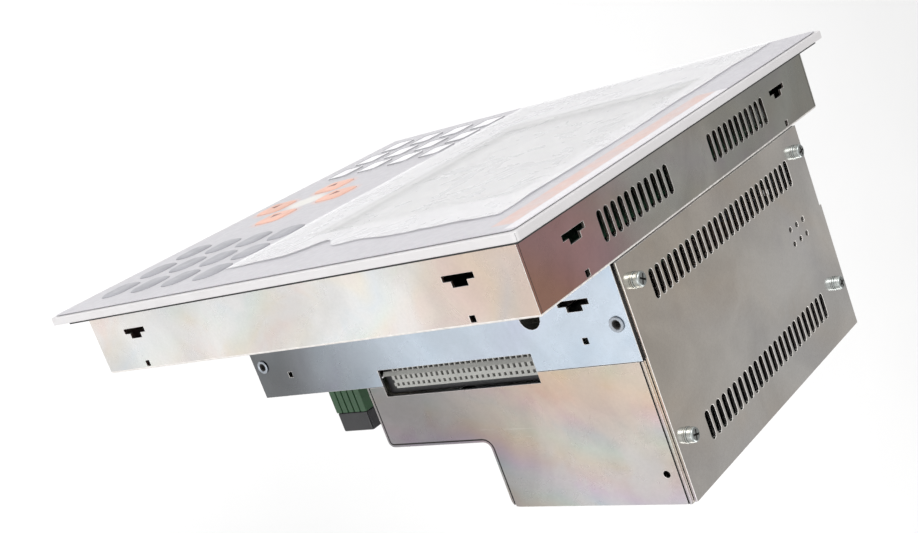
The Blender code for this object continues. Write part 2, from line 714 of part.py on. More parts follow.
def build_rear_cover(zinc):
    """The stepped cover behind the card cage, open to the front and flanged at the top."""
    cover = prism("rear_cover", cover_outline(0), "X", HOUSING_LEFT - PLATE_JOG, HOUSING_RIGHT, zinc)
    past = 2 * SHEET
    above = rectangle(
        HOUSING_LEFT - PLATE_JOG + FLANGE_WIDTH,
        HOUSING_RIGHT - FLANGE_WIDTH,
        COVER_FRONT - past,
        COVER_REAR - FLANGE_WIDTH,
    )
    start = COVER_FRONT - past
    end = COVER_REAR + past
    top_groove = HOUSING_TOP - FOLD_GROOVE_OFFSET
    grooves = [
        fold_groove(start, end),
        rectangle(start, end, top_groove - FOLD_GROOVE_WIDTH, top_groove),
    ]
    hole = (COVER_REAR - COVER_HOLE_FROM_REAR, HOUSING_TOP - COVER_HOLE_FROM_TOP)
    shapes = [
        (cover_outline(SHEET), "X", HOUSING_LEFT - PLATE_JOG + SHEET, HOUSING_RIGHT - SHEET),
        (above, "Z", HOUSING_TOP - 2 * SHEET, HOUSING_TOP + past),
        (connector_cutout(), "X", HOUSING_RIGHT - 2 * past, HOUSING_RIGHT + past),
        (circle(hole, COVER_HOLE_RADIUS), "X", HOUSING_RIGHT - past, HOUSING_RIGHT + past),
    ]
    for groove in grooves:
        shapes.append((groove, "X", HOUSING_RIGHT - FOLD_GROOVE_DEPTH, HOUSING_RIGHT + past))
    for place in screw_places()[2:]:
        clearance = circle(place, SCREW_SHANK_RADIUS + HOLE_CLEARANCE, sides=12)
        shapes.append((clearance, "Z", HOUSING_TOP - 2 * SHEET, HOUSING_TOP + past))
    cut(cover, shapes)


def build_top_plate(steel):
    """The screwed plate over both rear housings, with two rows of vents."""
    front_row = vent_row(
        PLATE_RIGHT - SCREW_SIDE_INSET - PLATE_VENT_FRONT_INSET,
        PLATE_VENT_FRONT_COUNT,
        PLATE_FRONT + PLATE_VENT_FRONT_START,
    )
    rear_row = vent_row(
        PLATE_RIGHT - SCREW_SIDE_INSET - PLATE_VENT_FRONT_INSET - VENT_PITCH,
        PLATE_VENT_REAR_COUNT,
        COVER_REAR - PLATE_VENT_REAR_INSET - VENT_LENGTH,
    )
    holes = [circle(place, SCREW_SHANK_RADIUS + HOLE_CLEARANCE, sides=12) for place in screw_places()]
    for column in range(3):
        for row in range(2):
            place = (
                PLATE_LEFT + SMALL_HOLE_SIDE_INSET + SMALL_HOLE_PITCH * column,
                PLATE_FRONT + SMALL_HOLE_FRONT_INSET + SMALL_HOLE_PITCH * row,
            )
            holes.append(circle(place, SMALL_HOLE_RADIUS, sides=10))
    outline = [
        (PLATE_LEFT, PLATE_FRONT),
        (PLATE_RIGHT, PLATE_FRONT),
        (PLATE_RIGHT, COVER_REAR),
        (PLATE_LEFT - PLATE_JOG, COVER_REAR),
        (PLATE_LEFT - PLATE_JOG, COVER_FRONT),
        (PLATE_LEFT, COVER_FRONT),
    ]
    prism("top_plate", outline, "Z", PLATE_LOW, PLATE_TOP, steel, holes=[*front_row, *rear_row, *holes])


def turned(name, middle, axis, profile, material, sides=16):
    """A turned piece: profile lists (height along the axis, radius)."""
    rings = []
    for along, radius in profile:
        rings.append([on_axis(axis, along, *point) for point in circle(middle, radius, sides)])
    return loft(name, rings, material, origin=on_axis(axis, profile[0][0], *middle))


def build_fixings(steel):
    """Pan-head screws of the plate and the press-in nuts of the right wall."""
    seat = PLATE_TOP + CONTACT_GAP
    profile = [
        (PLATE_TOP - SCREW_SHANK_LENGTH, SCREW_SHANK_RADIUS),
        (seat, SCREW_SHANK_RADIUS),
        (seat, SCREW_HEAD_RADIUS),
        (seat + SCREW_HEAD_HEIGHT * 0.45, SCREW_HEAD_RADIUS),
        (seat + SCREW_HEAD_HEIGHT * 0.85, SCREW_HEAD_RADIUS * 0.8),
        (seat + SCREW_HEAD_HEIGHT, SCREW_HEAD_RADIUS * 0.45),
    ]
    for index, place in enumerate(screw_places(), 1):
        turned(f"plate_screw_{index}", place, "Z", profile, steel)
    flange = HOUSING_RIGHT + CONTACT_GAP
    for name, place in nut_places().items():
        profile = [
            (HOUSING_RIGHT - NUT_LENGTH, NUT_RADIUS - NUT_PROUD - CONTACT_GAP),
            (flange, NUT_RADIUS - NUT_PROUD - CONTACT_GAP),
            (flange, NUT_RADIUS),
            (flange + NUT_PROUD, NUT_RADIUS),
        ]
        nut = turned(f"press_nut_{name}", place, "X", profile, steel)
        bore = circle(place, NUT_HOLE_RADIUS)
        cut(nut, [(bore, "X", HOUSING_RIGHT - 2 * NUT_LENGTH, HOUSING_RIGHT + NUT_LENGTH)])


def build_connector(ivory, black):
    """The two-row connector in the right wall's cut-out, and the black shroud around its lower end."""
    face = HOUSING_RIGHT - CONNECTOR_RECESS
    front = SEAM - CUTOUT_BEFORE_SEAM + CONTACT_GAP
    body = block(
        "io_connector",
        (face - CONNECTOR_DEPTH, front, CONNECTOR_LOW),
        (face, front + CONNECTOR_WIDTH, CONNECTOR_HIGH),
        ivory,
    )
    first = CONNECTOR_LOW + PIN_PITCH / 2
    half = PIN_OPENING / 2
    shapes = []
    for row in range(PIN_ROWS):
        depth = front + CONNECTOR_WIDTH - PIN_OPENING - PIN_ROW_PITCH * row
        for pin in range(PIN_COUNT):
            middle = first + PIN_PITCH * pin
            outline = rectangle(depth - half, depth + half, middle - half, middle + half)
            shapes.append((outline, "X", face - PIN_OPENING_DEPTH, face + PIN_OPENING_DEPTH))
    cut(body, shapes)
    back = HOUSING_RIGHT - SHROUD_RECESS
    outer_low = CUTOUT_LOW + CONTACT_GAP
    outer_rear = SEAM + CUTOUT_BEHIND_SEAM - CONTACT_GAP
    strip_front = outer_rear - SHROUD_STRIP + CONTACT_GAP
    outline = [
        (front, outer_low),
        (outer_rear, outer_low),
        (outer_rear, CONNECTOR_HIGH),
        (strip_front, CONNECTOR_HIGH),
        (strip_front, CONNECTOR_LOW - CONTACT_GAP),
        (front, CONNECTOR_LOW - CONTACT_GAP),
    ]
    prism("connector_shroud", outline, "X", back - CONNECTOR_DEPTH, back, black)


def ribbed(outline_low, outline_high, across_low, across_high):
    """An outline with one rib for each pole on its right side, as across and height."""
    points = [(across_low, outline_high), (across_low, outline_low)]
    for pole in range(POLE_COUNT):
        low = outline_low + POLE_PITCH * pole
        high = low + POLE_PITCH
        points.append((across_high, low + RIB_GAP / 2 if pole else low))
        last = pole == POLE_COUNT - 1
        points.append((across_high, high if last else high - RIB_GAP / 2))
        if not last:
            points.append((across_high - RIB_DEPTH, high - RIB_GAP / 2))
            points.append((across_high - RIB_DEPTH, high + RIB_GAP / 2))
    return points


def build_power_terminal(green, black):
    """A fixed header in the rear wall, and the plug that pulls off it with its hood."""
    across, middle = terminal_middle()
    half = POLE_COUNT * POLE_PITCH / 2
    header_rear = SEAM + HEADER_BEHIND_WALL
    prism("terminal_header", terminal_outline(0), "Y", header_rear - HEADER_DEPTH, header_rear, green)
    plug_front = header_rear + CONTACT_GAP
    plug_rear = plug_front + PLUG_DEPTH
    reach = TERMINAL_HEIGHT / 2
    outline = ribbed(middle - half, middle + half, across - reach, across + reach)
    prism("terminal_plug", outline, "Y", plug_front, plug_rear, green, origin=(across, plug_front, middle))
    hood_front = plug_rear + CONTACT_GAP
    prism(
        "plug_hood",
        rounded((across, middle), (TERMINAL_HEIGHT, POLE_COUNT * POLE_PITCH), HOOD_CORNER),
        "Y",
        hood_front,
        hood_front + HOOD_DEPTH,
        black,
        origin=(across, plug_front, middle),
    )


def build_display(dark, board):
    """The LCD behind the glass and its backlight inverter."""
    front = GLASS_FRONT + GLASS_THICKNESS + CONTACT_GAP
    lcd_front = BEZEL_REAR + CONTACT_GAP
    outline = window_outline(LCD_BORDER - WINDOW_CLEARANCE)
    lcd = prism("lcd_module", outline, "Y", lcd_front, front + LCD_DEPTH, dark)
    cut(lcd, [(window_outline(0), "Y", lcd_front - MM, lcd_front + LCD_SCREEN_DEPTH)])
    rear = front + LCD_DEPTH + CONTACT_GAP
    low = WINDOW_LOW + LCD_BORDER
    half = INVERTER_SIZE[0] / 2
    far = (half, rear + BOARD_THICKNESS, low + INVERTER_SIZE[1])
    block("inverter_board", (-half, rear, low), far, board)


def build_boards(board, aluminium, brass):
    """Keypad board, main board, backplane, power supply with its heat sink, and the standoffs."""
    side = TRAY_HALF - SHEET - BOARD_EDGE_CLEARANCE
    low = TRAY_LOW + SHEET + BOARD_EDGE_CLEARANCE
    key_front = FACE + KEY_STEM_LENGTH + KEY_BOARD_GAP
    lcd_low = WINDOW_LOW - LCD_BORDER
    block(
        "keypad_board",
        (-side, key_front, low),
        (side, key_front + BOARD_THICKNESS, lcd_low - BOARD_EDGE_CLEARANCE),
        board,
    )
    board_rear = TRAY_DEPTH - SHEET - MAIN_BOARD_FROM_REAR
    board_front = board_rear - BOARD_THICKNESS
    top = TRAY_TOP - SHEET - BOARD_EDGE_CLEARANCE
    block("main_board", (-side, board_front, low), (side, board_rear, top), board)
    across = side - STANDOFF_INSET
    spots = [(x, z) for x in (-across, across) for z in (low + STANDOFF_INSET, top - STANDOFF_INSET)]
    profile = [
        (board_rear + CONTACT_GAP, STANDOFF_RADIUS),
        (TRAY_DEPTH - SHEET - CONTACT_GAP, STANDOFF_RADIUS),
    ]
    for index, spot in enumerate(spots, 1):
        turned(f"board_standoff_{index}", spot, "Y", profile, brass, sides=6)
    left = HOUSING_LEFT + SHEET + BOARD_EDGE_CLEARANCE
    right = HOUSING_RIGHT - FLANGE_WIDTH
    plane_front = MIDDLE_FRONT + BACKPLANE_FROM_TRAY
    block(
        "backplane_board",
        (left, plane_front, HOUSING_LOW + SHEET + BOARD_EDGE_CLEARANCE),
        (right, plane_front + BOARD_THICKNESS, HOUSING_TOP - 2 * SHEET - BOARD_EDGE_CLEARANCE),
        board,
    )
    supply_rear = COVER_REAR - SHEET - SINK_HEIGHT - 2 * BOARD_EDGE_CLEARANCE
    supply_low = COVER_SHORT_LOW + SHEET + BOARD_EDGE_CLEARANCE
    block(
        "power_supply_board",
        (left, supply_rear - BOARD_THICKNESS, supply_low),
        (right, supply_rear, HOUSING_TOP - 2 * SHEET - BOARD_EDGE_CLEARANCE),
        board,
    )
    sink_front = supply_rear + CONTACT_GAP
    sink_right = left + SINK_FIN_PITCH * (SINK_FIN_COUNT - 1) + SINK_FIN_WIDTH
    points = [(left, sink_front), (sink_right, sink_front)]
    for fin in reversed(range(SINK_FIN_COUNT)):
        fin_left = left + SINK_FIN_PITCH * fin
        fin_right = fin_left + SINK_FIN_WIDTH
        if fin < SINK_FIN_COUNT - 1:
            points.append((fin_right, sink_front + SINK_BASE))
        points += [(fin_right, sink_front + SINK_HEIGHT), (fin_left, sink_front + SINK_HEIGHT)]
        if fin:
            points.append((fin_left, sink_front + SINK_BASE))
    prism("heat_sink", points, "Z", supply_low, supply_low + SINK_LENGTH, aluminium)


def main():
    clear_scene()
    paint = make_material("bezel_paint", (0.56, 0.56, 0.57), 0.5)
    foil = make_material("foil", (0.65, 0.64, 0.67), 0.42)
    rubber = make_material("seal_rubber", (0.03, 0.03, 0.03), 0.85)
    glass = make_material("window_glass", (0.62, 0.62, 0.63), 0.12)
    film = make_material("film", (0.9, 0.9, 0.92), 0.3)
    grey_key = make_material("grey_key", (0.48, 0.48, 0.51), 0.5)
    white_key = make_material("white_key", (0.78, 0.78, 0.79), 0.5)
    orange_key = make_material("orange_key", (0.85, 0.5, 0.36), 0.5)
    zinc = make_material("zinc_sheet", (0.68, 0.66, 0.66), 0.35, 1.0)
    steel = make_material("bright_zinc", (0.75, 0.76, 0.78), 0.25, 1.0)
    cover = make_material("zinc_cover", (0.62, 0.6, 0.61), 0.35, 1.0)
    plate = make_material("zinc_plate", (0.45, 0.43, 0.41), 0.32, 1.0)
    ivory = make_material("connector_plastic", (0.5, 0.5, 0.46), 0.5)
    black = make_material("black_plastic", (0.015, 0.015, 0.017), 0.5)
    green = make_material("terminal_green", (0.05, 0.2, 0.08), 0.45)
    dark = make_material("lcd_frame", (0.3, 0.3, 0.32), 0.4, 0.6)
    board = make_material("board_green", (0.02, 0.15, 0.06), 0.5)
    aluminium = make_material("sink_aluminium", (0.7, 0.7, 0.72), 0.4, 1.0)
    brass = make_material("standoff_brass", (0.72, 0.56, 0.28), 0.35, 1.0)
    build_front(paint, foil, rubber, glass, film)
    build_keys(white_key, grey_key, orange_key)
    build_tray(zinc)
    build_middle_housing(zinc)
    build_rear_cover(cover)
    build_top_plate(plate)
    build_fixings(steel)
    build_connector(ivory, black)
    build_power_terminal(green, black)
    build_display(dark, board)
    build_boards(board, aluminium, brass)


main()
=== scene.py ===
"""Looks of a panel-mounted operator terminal: zinc-plated sheet housings behind a keypad and display front.

The part hangs in its frame: the operator looks along +Y and +Z is up. Sizes are in metres.
"""

import json
import math

import bmesh
import bpy
from mathutils import Matrix, Vector, noise

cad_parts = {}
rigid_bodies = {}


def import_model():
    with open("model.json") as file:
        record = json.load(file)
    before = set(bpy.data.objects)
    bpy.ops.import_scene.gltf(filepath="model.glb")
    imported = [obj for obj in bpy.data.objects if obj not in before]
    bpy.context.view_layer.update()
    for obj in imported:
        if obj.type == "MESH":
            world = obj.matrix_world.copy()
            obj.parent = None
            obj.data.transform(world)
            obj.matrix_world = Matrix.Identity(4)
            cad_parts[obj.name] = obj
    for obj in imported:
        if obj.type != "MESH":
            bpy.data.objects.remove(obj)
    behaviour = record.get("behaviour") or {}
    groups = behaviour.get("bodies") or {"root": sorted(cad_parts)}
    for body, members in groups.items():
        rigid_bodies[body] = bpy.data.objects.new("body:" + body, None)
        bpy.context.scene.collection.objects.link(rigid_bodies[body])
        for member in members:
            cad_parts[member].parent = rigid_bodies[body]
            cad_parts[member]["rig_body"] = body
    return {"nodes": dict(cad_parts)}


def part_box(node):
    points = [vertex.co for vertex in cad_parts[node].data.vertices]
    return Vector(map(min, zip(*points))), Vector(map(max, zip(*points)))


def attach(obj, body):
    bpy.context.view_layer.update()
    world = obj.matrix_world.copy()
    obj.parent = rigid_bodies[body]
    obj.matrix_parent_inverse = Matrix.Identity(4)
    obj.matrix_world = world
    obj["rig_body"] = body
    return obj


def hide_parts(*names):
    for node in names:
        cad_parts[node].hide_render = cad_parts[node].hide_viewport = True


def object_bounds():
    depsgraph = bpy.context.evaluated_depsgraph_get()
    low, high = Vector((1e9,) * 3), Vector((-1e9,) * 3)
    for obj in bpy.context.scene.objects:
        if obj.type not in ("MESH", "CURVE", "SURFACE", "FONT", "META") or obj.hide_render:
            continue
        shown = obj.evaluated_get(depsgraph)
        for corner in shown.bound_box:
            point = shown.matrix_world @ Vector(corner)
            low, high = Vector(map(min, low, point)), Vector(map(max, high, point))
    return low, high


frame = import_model()
CAD_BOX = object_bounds()

MM = 0.001
HOUSING = "housing"
SHARP = math.radians(28)  # edges that turn further than this get a rounded edge
SAME_POINT = 0.012 * MM

# Edges and seams of the sheet metal
CUT_EDGE = 0.12 * MM  # radius of a punched or sawn edge
FOLD_EDGE = 1.5 * MM  # radius of a bent edge
PAINTED_EDGE = 0.7 * MM
SHEET = 1.5 * MM
SEAM_WIDTH = 0.35 * MM
SEAM_DEPTH = 1.0 * MM
GROOVE_FLOOR = 0.72 * MM  # deepest point of the cover's grooves, below its wall
LIP_FLOOR = 0.92 * MM

# Foil and keys
FOIL_INSET = 2.5 * MM
TOP_MARGIN = 7 * MM  # width of the pale print above the orange band
MARK_HEIGHT = 0.02 * MM  # a printed arrow above its cap
KEY_PROUD = 1.2 * MM
KEY_SHOULDER = 4.5 * MM  # width of a pillow key's rounded edge
RIM_DROP = 0.5 * MM
ARC_STEPS = 7

# Fixings
HEAD_SIDES = 40
SCREW_SHANK = 1.9 * MM  # radius
NUT_BORE = 1.9 * MM  # radius
THREAD_PITCH = 0.5 * MM
RECESS_ARM = 0.62  # length of a recess arm, as a share of the head's radius
RECESS_WIDTH = 0.26
RECESS_DEPTH = 1.4 * MM
WASHER_HEIGHT = 0.8 * MM
CROWN = 1.1 * MM  # radius of the head's top edge

# Connector
WAY_PITCH = 3.81 * MM
WAY_COUNT = 26
WAY_OPENING = 1.7 * MM
WAY_DEPTH = 5 * MM
# Where the comb, the band, the first row, the rail and the second row end
CONNECTOR_STEPS = (2.1 * MM, 4.1 * MM, 6.5 * MM, 8.4 * MM, 10.3 * MM)
BAND_FALL = 1.8 * MM
COMB_TOOTH = 0.9 * MM
COMB_FALL = 1.4 * MM

# Protective film
FILM_STEP = 1.5 * MM
FILM_LIFT = 0.85 * MM  # most that a crease stands off
FILM_INSET = 3.5 * MM  # keeps the wavy cut inside the designed sheet
FILM_CALM = 14 * MM  # width over which the creases fade out across the window


# ---------------------------------------------------------------- node helpers


def put(tree, kind, inputs=None, **settings):
    """Adds a node. Each input is a value, or another node's output to link to it."""
    made = tree.nodes.new(kind)
    for key, value in settings.items():
        setattr(made, key, value)
    for key, value in (inputs or {}).items():
        if isinstance(value, bpy.types.NodeSocket):
            tree.links.new(value, made.inputs[key])
        else:
            made.inputs[key].default_value = value
    return made


def finish(name, colour, roughness, metallic=0.0, **sockets):
    """A Principled material. What is the same all over it sits on the shader's own sockets."""
    made = bpy.data.materials.new(name)
    made.use_nodes = True
    made.diffuse_color = (*colour, 1)
    shader = made.node_tree.nodes["Principled BSDF"]
    shader.inputs["Base Color"].default_value = (*colour, 1)
    shader.inputs["Roughness"].default_value = roughness
    shader.inputs["Metallic"].default_value = metallic
    for socket, value in sockets.items():
        shader.inputs[socket.replace("_", " ")].default_value = value
    return made, made.node_tree, shader


def coordinates(tree, scale=(1, 1, 1), turn=(0, 0, 0)):
    """Places in the part's own frame, in metres, stretched and turned."""
    place = put(tree, "ShaderNodeTexCoord").outputs["Object"]
    return put(tree, "ShaderNodeMapping", {"Vector": place, "Scale": scale, "Rotation": turn}).outputs[0]


def grain(tree, vector, scale, detail=3.0, rough=0.55, distort=0.0):
    inputs = {"Vector": vector, "Scale": scale, "Detail": detail, "Roughness": rough}
    inputs["Distortion"] = distort
    return put(tree, "ShaderNodeTexNoise", inputs).outputs[0]


def maths(tree, operation, first, second=0.0, third=0.0):
    inputs = {0: first, 1: second, 2: third}
    if operation in ("ABSOLUTE", "FRACT"):
        inputs = {0: first}
    elif operation not in ("MULTIPLY_ADD", "WRAP"):
        inputs = {0: first, 1: second}
    return put(tree, "ShaderNodeMath", inputs, operation=operation).outputs[0]


def remap(tree, value, low, high, to_low=0.0, to_high=1.0, smooth=True):
    inputs = {"Value": value, "From Min": low, "From Max": high}
    inputs |= {"To Min": to_low, "To Max": to_high}
    kind = "SMOOTHSTEP" if smooth else "LINEAR"
    return put(tree, "ShaderNodeMapRange", inputs, interpolation_type=kind).outputs[0]


def ramp(tree, factor, stops):
    """A colour ramp from (place, colour) stops, where a colour is a grey number or three."""
    made = put(tree, "ShaderNodeValToRGB", {"Fac": factor})
    elements = made.color_ramp.elements
    while len(elements) < len(stops):
        elements.new(0.5)
    for element, (place, colour) in zip(elements, stops):
        element.position = place
        shade = (colour,) * 3 if isinstance(colour, (int, float)) else colour
        element.color = (*shade, 1)
    return made.outputs[0]


def mixed(tree, factor, first, second, mode="MIX"):
    """Two colours mixed; each is a tuple of three or a node's output."""
    sides = [(*side, 1) if isinstance(side, tuple) else side for side in (first, second)]
    inputs = {0: factor, 6: sides[0], 7: sides[1]}
    made = put(tree, "ShaderNodeMix", inputs, data_type="RGBA", blend_type=mode)
    return made.outputs[2]


def dot(tree, first, second):
    inputs = {0: first, 1: second}
    return put(tree, "ShaderNodeVectorMath", inputs, operation="DOT_PRODUCT").outputs["Value"]


def along(tree, vector, direction):
    """How far a place lies in a direction."""
    return dot(tree, vector, direction)


def bumped(tree, shader, height, strength, distance):
    bump = put(tree, "ShaderNodeBump", {"Height": height, "Strength": strength, "Distance": distance})
    tree.links.new(bump.outputs[0], shader.inputs["Normal"])


def edge_wear_and_highlight(tree, radius):
    """1 on edges and 0 on flats, from how far the rounded normal leans away from the face's own. The zinc and
    the paint lighten their edges with it as a painted highlight, the plastics as wear.
    """
    soft = put(tree, "ShaderNodeBevel", {"Radius": radius}, samples=4).outputs[0]
    hard = put(tree, "ShaderNodeNewGeometry").outputs["Normal"]
    return remap(tree, dot(tree, soft, hard), 0.97, 0.8)


def link(tree, output, shader, socket):
    tree.links.new(output, shader.inputs[socket])


# ------------------------------------------------------------------- materials


def zinc(name, tone, tints, bands, tint_share, rough=(0.2, 0.36), tint_and_painted_shade=()):
    """Zinc plate with a thin passivated film: interference colours, clouds, rolling lines, handling marks,
    painted shade along each face and a painted highlight on its edges.

    tints are the film's colours in turn, and bands is the direction and pace in which they change.
    Each shade is a direction, a start, an end and a colour that the tone turns to: partly the film's own
    tint, partly painted shade and painted light that make one end of a face darker or lighter.
    """
    made, tree, shader = finish(name, tone, rough[1], 1.0)
    place = coordinates(tree)
    drift = grain(tree, place, 9.0, 2.5, 0.5, 0.8)
    phase = maths(tree, "MULTIPLY_ADD", drift, 1.9, along(tree, place, bands))
    stops = [(index / len(tints), tint) for index, tint in enumerate((*tints, tints[0]))]
    film = ramp(tree, maths(tree, "FRACT", phase), stops)
    patches = remap(tree, grain(tree, place, 18.0, 3.0, 0.6, 1.0), 0.36, 0.64, 0.1, 0.9)
    base = tone
    # Painted shade and light: along each direction the tone turns darker or lighter, with some of the film's
    # own tint.
    for direction, start, end, colour in tint_and_painted_shade:
        wander = maths(tree, "MULTIPLY_ADD", drift, 0.05, along(tree, place, direction))
        base = mixed(tree, remap(tree, wander, start, end), base, colour)
    coloured = mixed(tree, maths(tree, "MULTIPLY", patches, tint_share), base, film, "MULTIPLY")
    speckle = grain(tree, place, 620.0, 4.0, 0.7)
    coloured = mixed(tree, 1.0, coloured, ramp(tree, speckle, [(0.3, 0.93), (0.7, 1.0)]), "MULTIPLY")
    mist = ramp(tree, grain(tree, place, 13.0, 4.0, 0.55, 1.4), [(0.36, 0.9), (0.64, 1.06)])
    coloured = mixed(tree, 1.0, coloured, mist, "MULTIPLY")
    rub = grain(tree, coordinates(tree, (260, 260, 9), (0.5, 0.3, 0.2)), 1.0, 5.0, 0.7)
    marks = remap(tree, rub, 0.66, 0.74)
    coloured = mixed(tree, maths(tree, "MULTIPLY", marks, 0.16), coloured, (0.93, 0.92, 0.9))
    # Painted highlight: the rounded edges are painted lighter.
    edges = edge_wear_and_highlight(tree, 0.5 * MM)
    coloured = mixed(tree, maths(tree, "MULTIPLY", edges, 0.5), coloured, (0.9, 0.89, 0.87))
    link(tree, coloured, shader, "Base Color")
    clouds = grain(tree, place, 26.0, 4.0, 0.62, 0.6)
    link(tree, remap(tree, clouds, 0.3, 0.7, *rough), shader, "Roughness")
    lines = grain(tree, coordinates(tree, (900, 60, 900)), 1.0, 2.0)
    height = maths(tree, "MULTIPLY_ADD", lines, 0.4, grain(tree, place, 45.0, 3.0))
    bumped(tree, shader, height, 0.06, 0.5 * MM)
    return made


def paint(name, colour, rough):
    """Powder coat: a fine orange peel, faint dirt and a painted highlight that makes its edges a little
    lighter.
    """
    made, tree, shader = finish(name, colour, rough, 0.0, Coat_Weight=0.15, Coat_Roughness=0.3)
    place = coordinates(tree)
    dirt = remap(tree, grain(tree, place, 30.0, 5.0, 0.65), 0.35, 0.75, 1.0, 0.93)
    shaded = mixed(tree, 1.0, colour, ramp(tree, dirt, [(0.0, 0.0), (1.0, 1.0)]), "MULTIPLY")
    lighter = tuple(min(1.0, value * 1.25) for value in colour)
    # Painted highlight: the edges are painted lighter.
    edges = maths(tree, "MULTIPLY", edge_wear_and_highlight(tree, 0.8 * MM), 0.6)
    link(tree, mixed(tree, edges, shaded, lighter), shader, "Base Color")
    sheen = remap(tree, grain(tree, place, 120.0, 3.0), 0.3, 0.7, rough - 0.06, rough + 0.08)
    link(tree, sheen, shader, "Roughness")
    bumped(tree, shader, grain(tree, place, 1500.0, 2.0), 0.22, 0.15 * MM)
    return made


def plastic(name, colour, rough, texture=2200.0, depth=0.2, **sockets):
    """Moulded plastic: spark-eroded texture, slight mottling and a little wear."""
    made, tree, shader = finish(name, colour, rough, 0.0, **sockets)
    place = coordinates(tree)
    tone = remap(tree, grain(tree, place, 55.0, 4.0), 0.3, 0.7, 0.9, 1.05)
    shaded = mixed(tree, 1.0, colour, ramp(tree, tone, [(0.0, 0.0), (1.0, 1.0)]), "MULTIPLY")
    lighter = tuple(min(1.0, value * 1.3 + 0.015) for value in colour)
    edges = maths(tree, "MULTIPLY", edge_wear_and_highlight(tree, 0.3 * MM), 0.5)
    link(tree, mixed(tree, edges, shaded, lighter), shader, "Base Color")
    sheen = remap(tree, grain(tree, place, 160.0, 3.0), 0.3, 0.7, rough - 0.08, rough + 0.08)
    link(tree, sheen, shader, "Roughness")
    bumped(tree, shader, grain(tree, place, texture, 2.0), depth, 0.1 * MM)
    return made


def ring_around(tree, parts, centre, near, far):
    """1 within near of a point on the front, fading to 0 at far."""
    across = maths(tree, "SUBTRACT", parts["X"], centre[0])
    height = maths(tree, "SUBTRACT", parts["Z"], centre[1])
    squared = maths(tree, "MULTIPLY_ADD", across, across, maths(tree, "MULTIPLY", height, height))
    return remap(tree, squared, far**2, near**2)


def stripe(tree, parts, left, right, low, high):
    """1 inside a rectangle on the front, with soft edges."""
    inside = 1.0
    for axis, start, end in (("X", left, right), ("Z", low, high)):
        inside = maths(tree, "MULTIPLY", inside, remap(tree, parts[axis], start - MM, start + MM))
        inside = maths(tree, "MULTIPLY", inside, remap(tree, parts[axis], end + MM, end - MM))
    return inside


def printed_foil(name, colour, top_band, pad_middle, arrows):
    """Matt polyester foil: a pale orange band along the top with a paler margin above it, a soft orange tint
    around each arrow key and a light field in the middle of their cross."""
    made, tree, shader = finish(name, colour, 0.4)
    place = coordinates(tree)
    parts = put(tree, "ShaderNodeSeparateXYZ", {"Vector": place}).outputs
    left, right, _, high = top_band
    mottle = remap(tree, grain(tree, place, 60.0, 4.0), 0.35, 0.7, 0.45, 0.9)
    band = maths(tree, "MULTIPLY", stripe(tree, parts, *top_band), mottle)
    margin = stripe(tree, parts, left, right + TOP_MARGIN, high, high + TOP_MARGIN)
    tone = ramp(tree, grain(tree, place, 20.0, 4.0), [(0.3, 0.95), (0.7, 1.0)])
    soft = mixed(tree, 1.0, colour, tone, "MULTIPLY")
    shaded = mixed(tree, band, soft, (0.62, 0.43, 0.38))
    shaded = mixed(tree, maths(tree, "MULTIPLY", margin, 0.75), shaded, (0.74, 0.73, 0.75))
    for centre in arrows:
        glow = ring_around(tree, parts, centre, 9 * MM, 19 * MM)
        shaded = mixed(tree, maths(tree, "MULTIPLY", glow, 0.7), shaded, (0.72, 0.42, 0.34))
    field = ring_around(tree, parts, pad_middle, 7 * MM, 17 * MM)
    shaded = mixed(tree, maths(tree, "MULTIPLY", field, 0.7), shaded, (0.78, 0.76, 0.7))
    link(tree, shaded, shader, "Base Color")
    link(tree, remap(tree, grain(tree, place, 240.0, 3.0), 0.3, 0.7, 0.34, 0.46), shader, "Roughness")
    bumped(tree, shader, grain(tree, place, 2600.0, 2.0), 0.12, 0.08 * MM)
    return made


def screen(name, low, high):
    """Anti-glare glass over a grey, switched-off display with a dark border: partly the display's own border,
    partly painted shadow of the window's recess.
    """
    made, tree, shader = finish(name, (0.5, 0.5, 0.52), 0.2, 0.0, Coat_Weight=0.4, Coat_Roughness=0.12)
    place = coordinates(tree)
    parts = put(tree, "ShaderNodeSeparateXYZ", {"Vector": place}).outputs
    haze = grain(tree, place, 11.0, 3.0, 0.5, 0.5)
    shown = ramp(tree, haze, [(0.3, (0.125, 0.12, 0.135)), (0.7, (0.165, 0.16, 0.17))])
    # The dark border along the edges: partly the display's own, partly painted shadow of the recess.
    edge = 1.0
    for axis in "XZ":
        start = getattr(low, axis.lower())
        end = getattr(high, axis.lower())
        edge = maths(tree, "MULTIPLY", edge, remap(tree, parts[axis], start + 6 * MM, start + 8.5 * MM))
        edge = maths(tree, "MULTIPLY", edge, remap(tree, parts[axis], end - 6 * MM, end - 8.5 * MM))
    link(tree, mixed(tree, edge, (0.01, 0.01, 0.011), shown), shader, "Base Color")
    link(tree, remap(tree, grain(tree, place, 70.0, 4.0), 0.3, 0.7, 0.16, 0.28), shader, "Roughness")
    bumped(tree, shader, grain(tree, place, 3500.0, 1.0), 0.06, 0.05 * MM)
    return made


def cling_film(name):
    """Milky shipping film, half see-through, with fine creases."""
    made, tree, shader = finish(name, (0.93, 0.93, 0.95), 0.3, 0.0, Alpha=0.58, Coat_Weight=0.15)
    place = coordinates(tree)
    haze = grain(tree, place, 35.0, 4.0, 0.6, 1.0)
    link(tree, ramp(tree, haze, [(0.3, (0.92, 0.92, 0.94)), (0.65, (1.0, 1.0, 1.0))]), shader, "Base Color")
    link(tree, remap(tree, haze, 0.3, 0.7, 0.22, 0.42), shader, "Roughness")
    creases = put(tree, "ShaderNodeTexVoronoi", {"Vector": place, "Scale": 26.0}, feature="DISTANCE_TO_EDGE")
    folds = maths(tree, "MULTIPLY", remap(tree, creases.outputs["Distance"], 0.0, 0.08), 0.08)
    height = maths(tree, "ADD", folds, grain(tree, place, 60.0, 3.0, 0.5, 0.8))
    bumped(tree, shader, height, 0.04, 0.8 * MM)
    return made


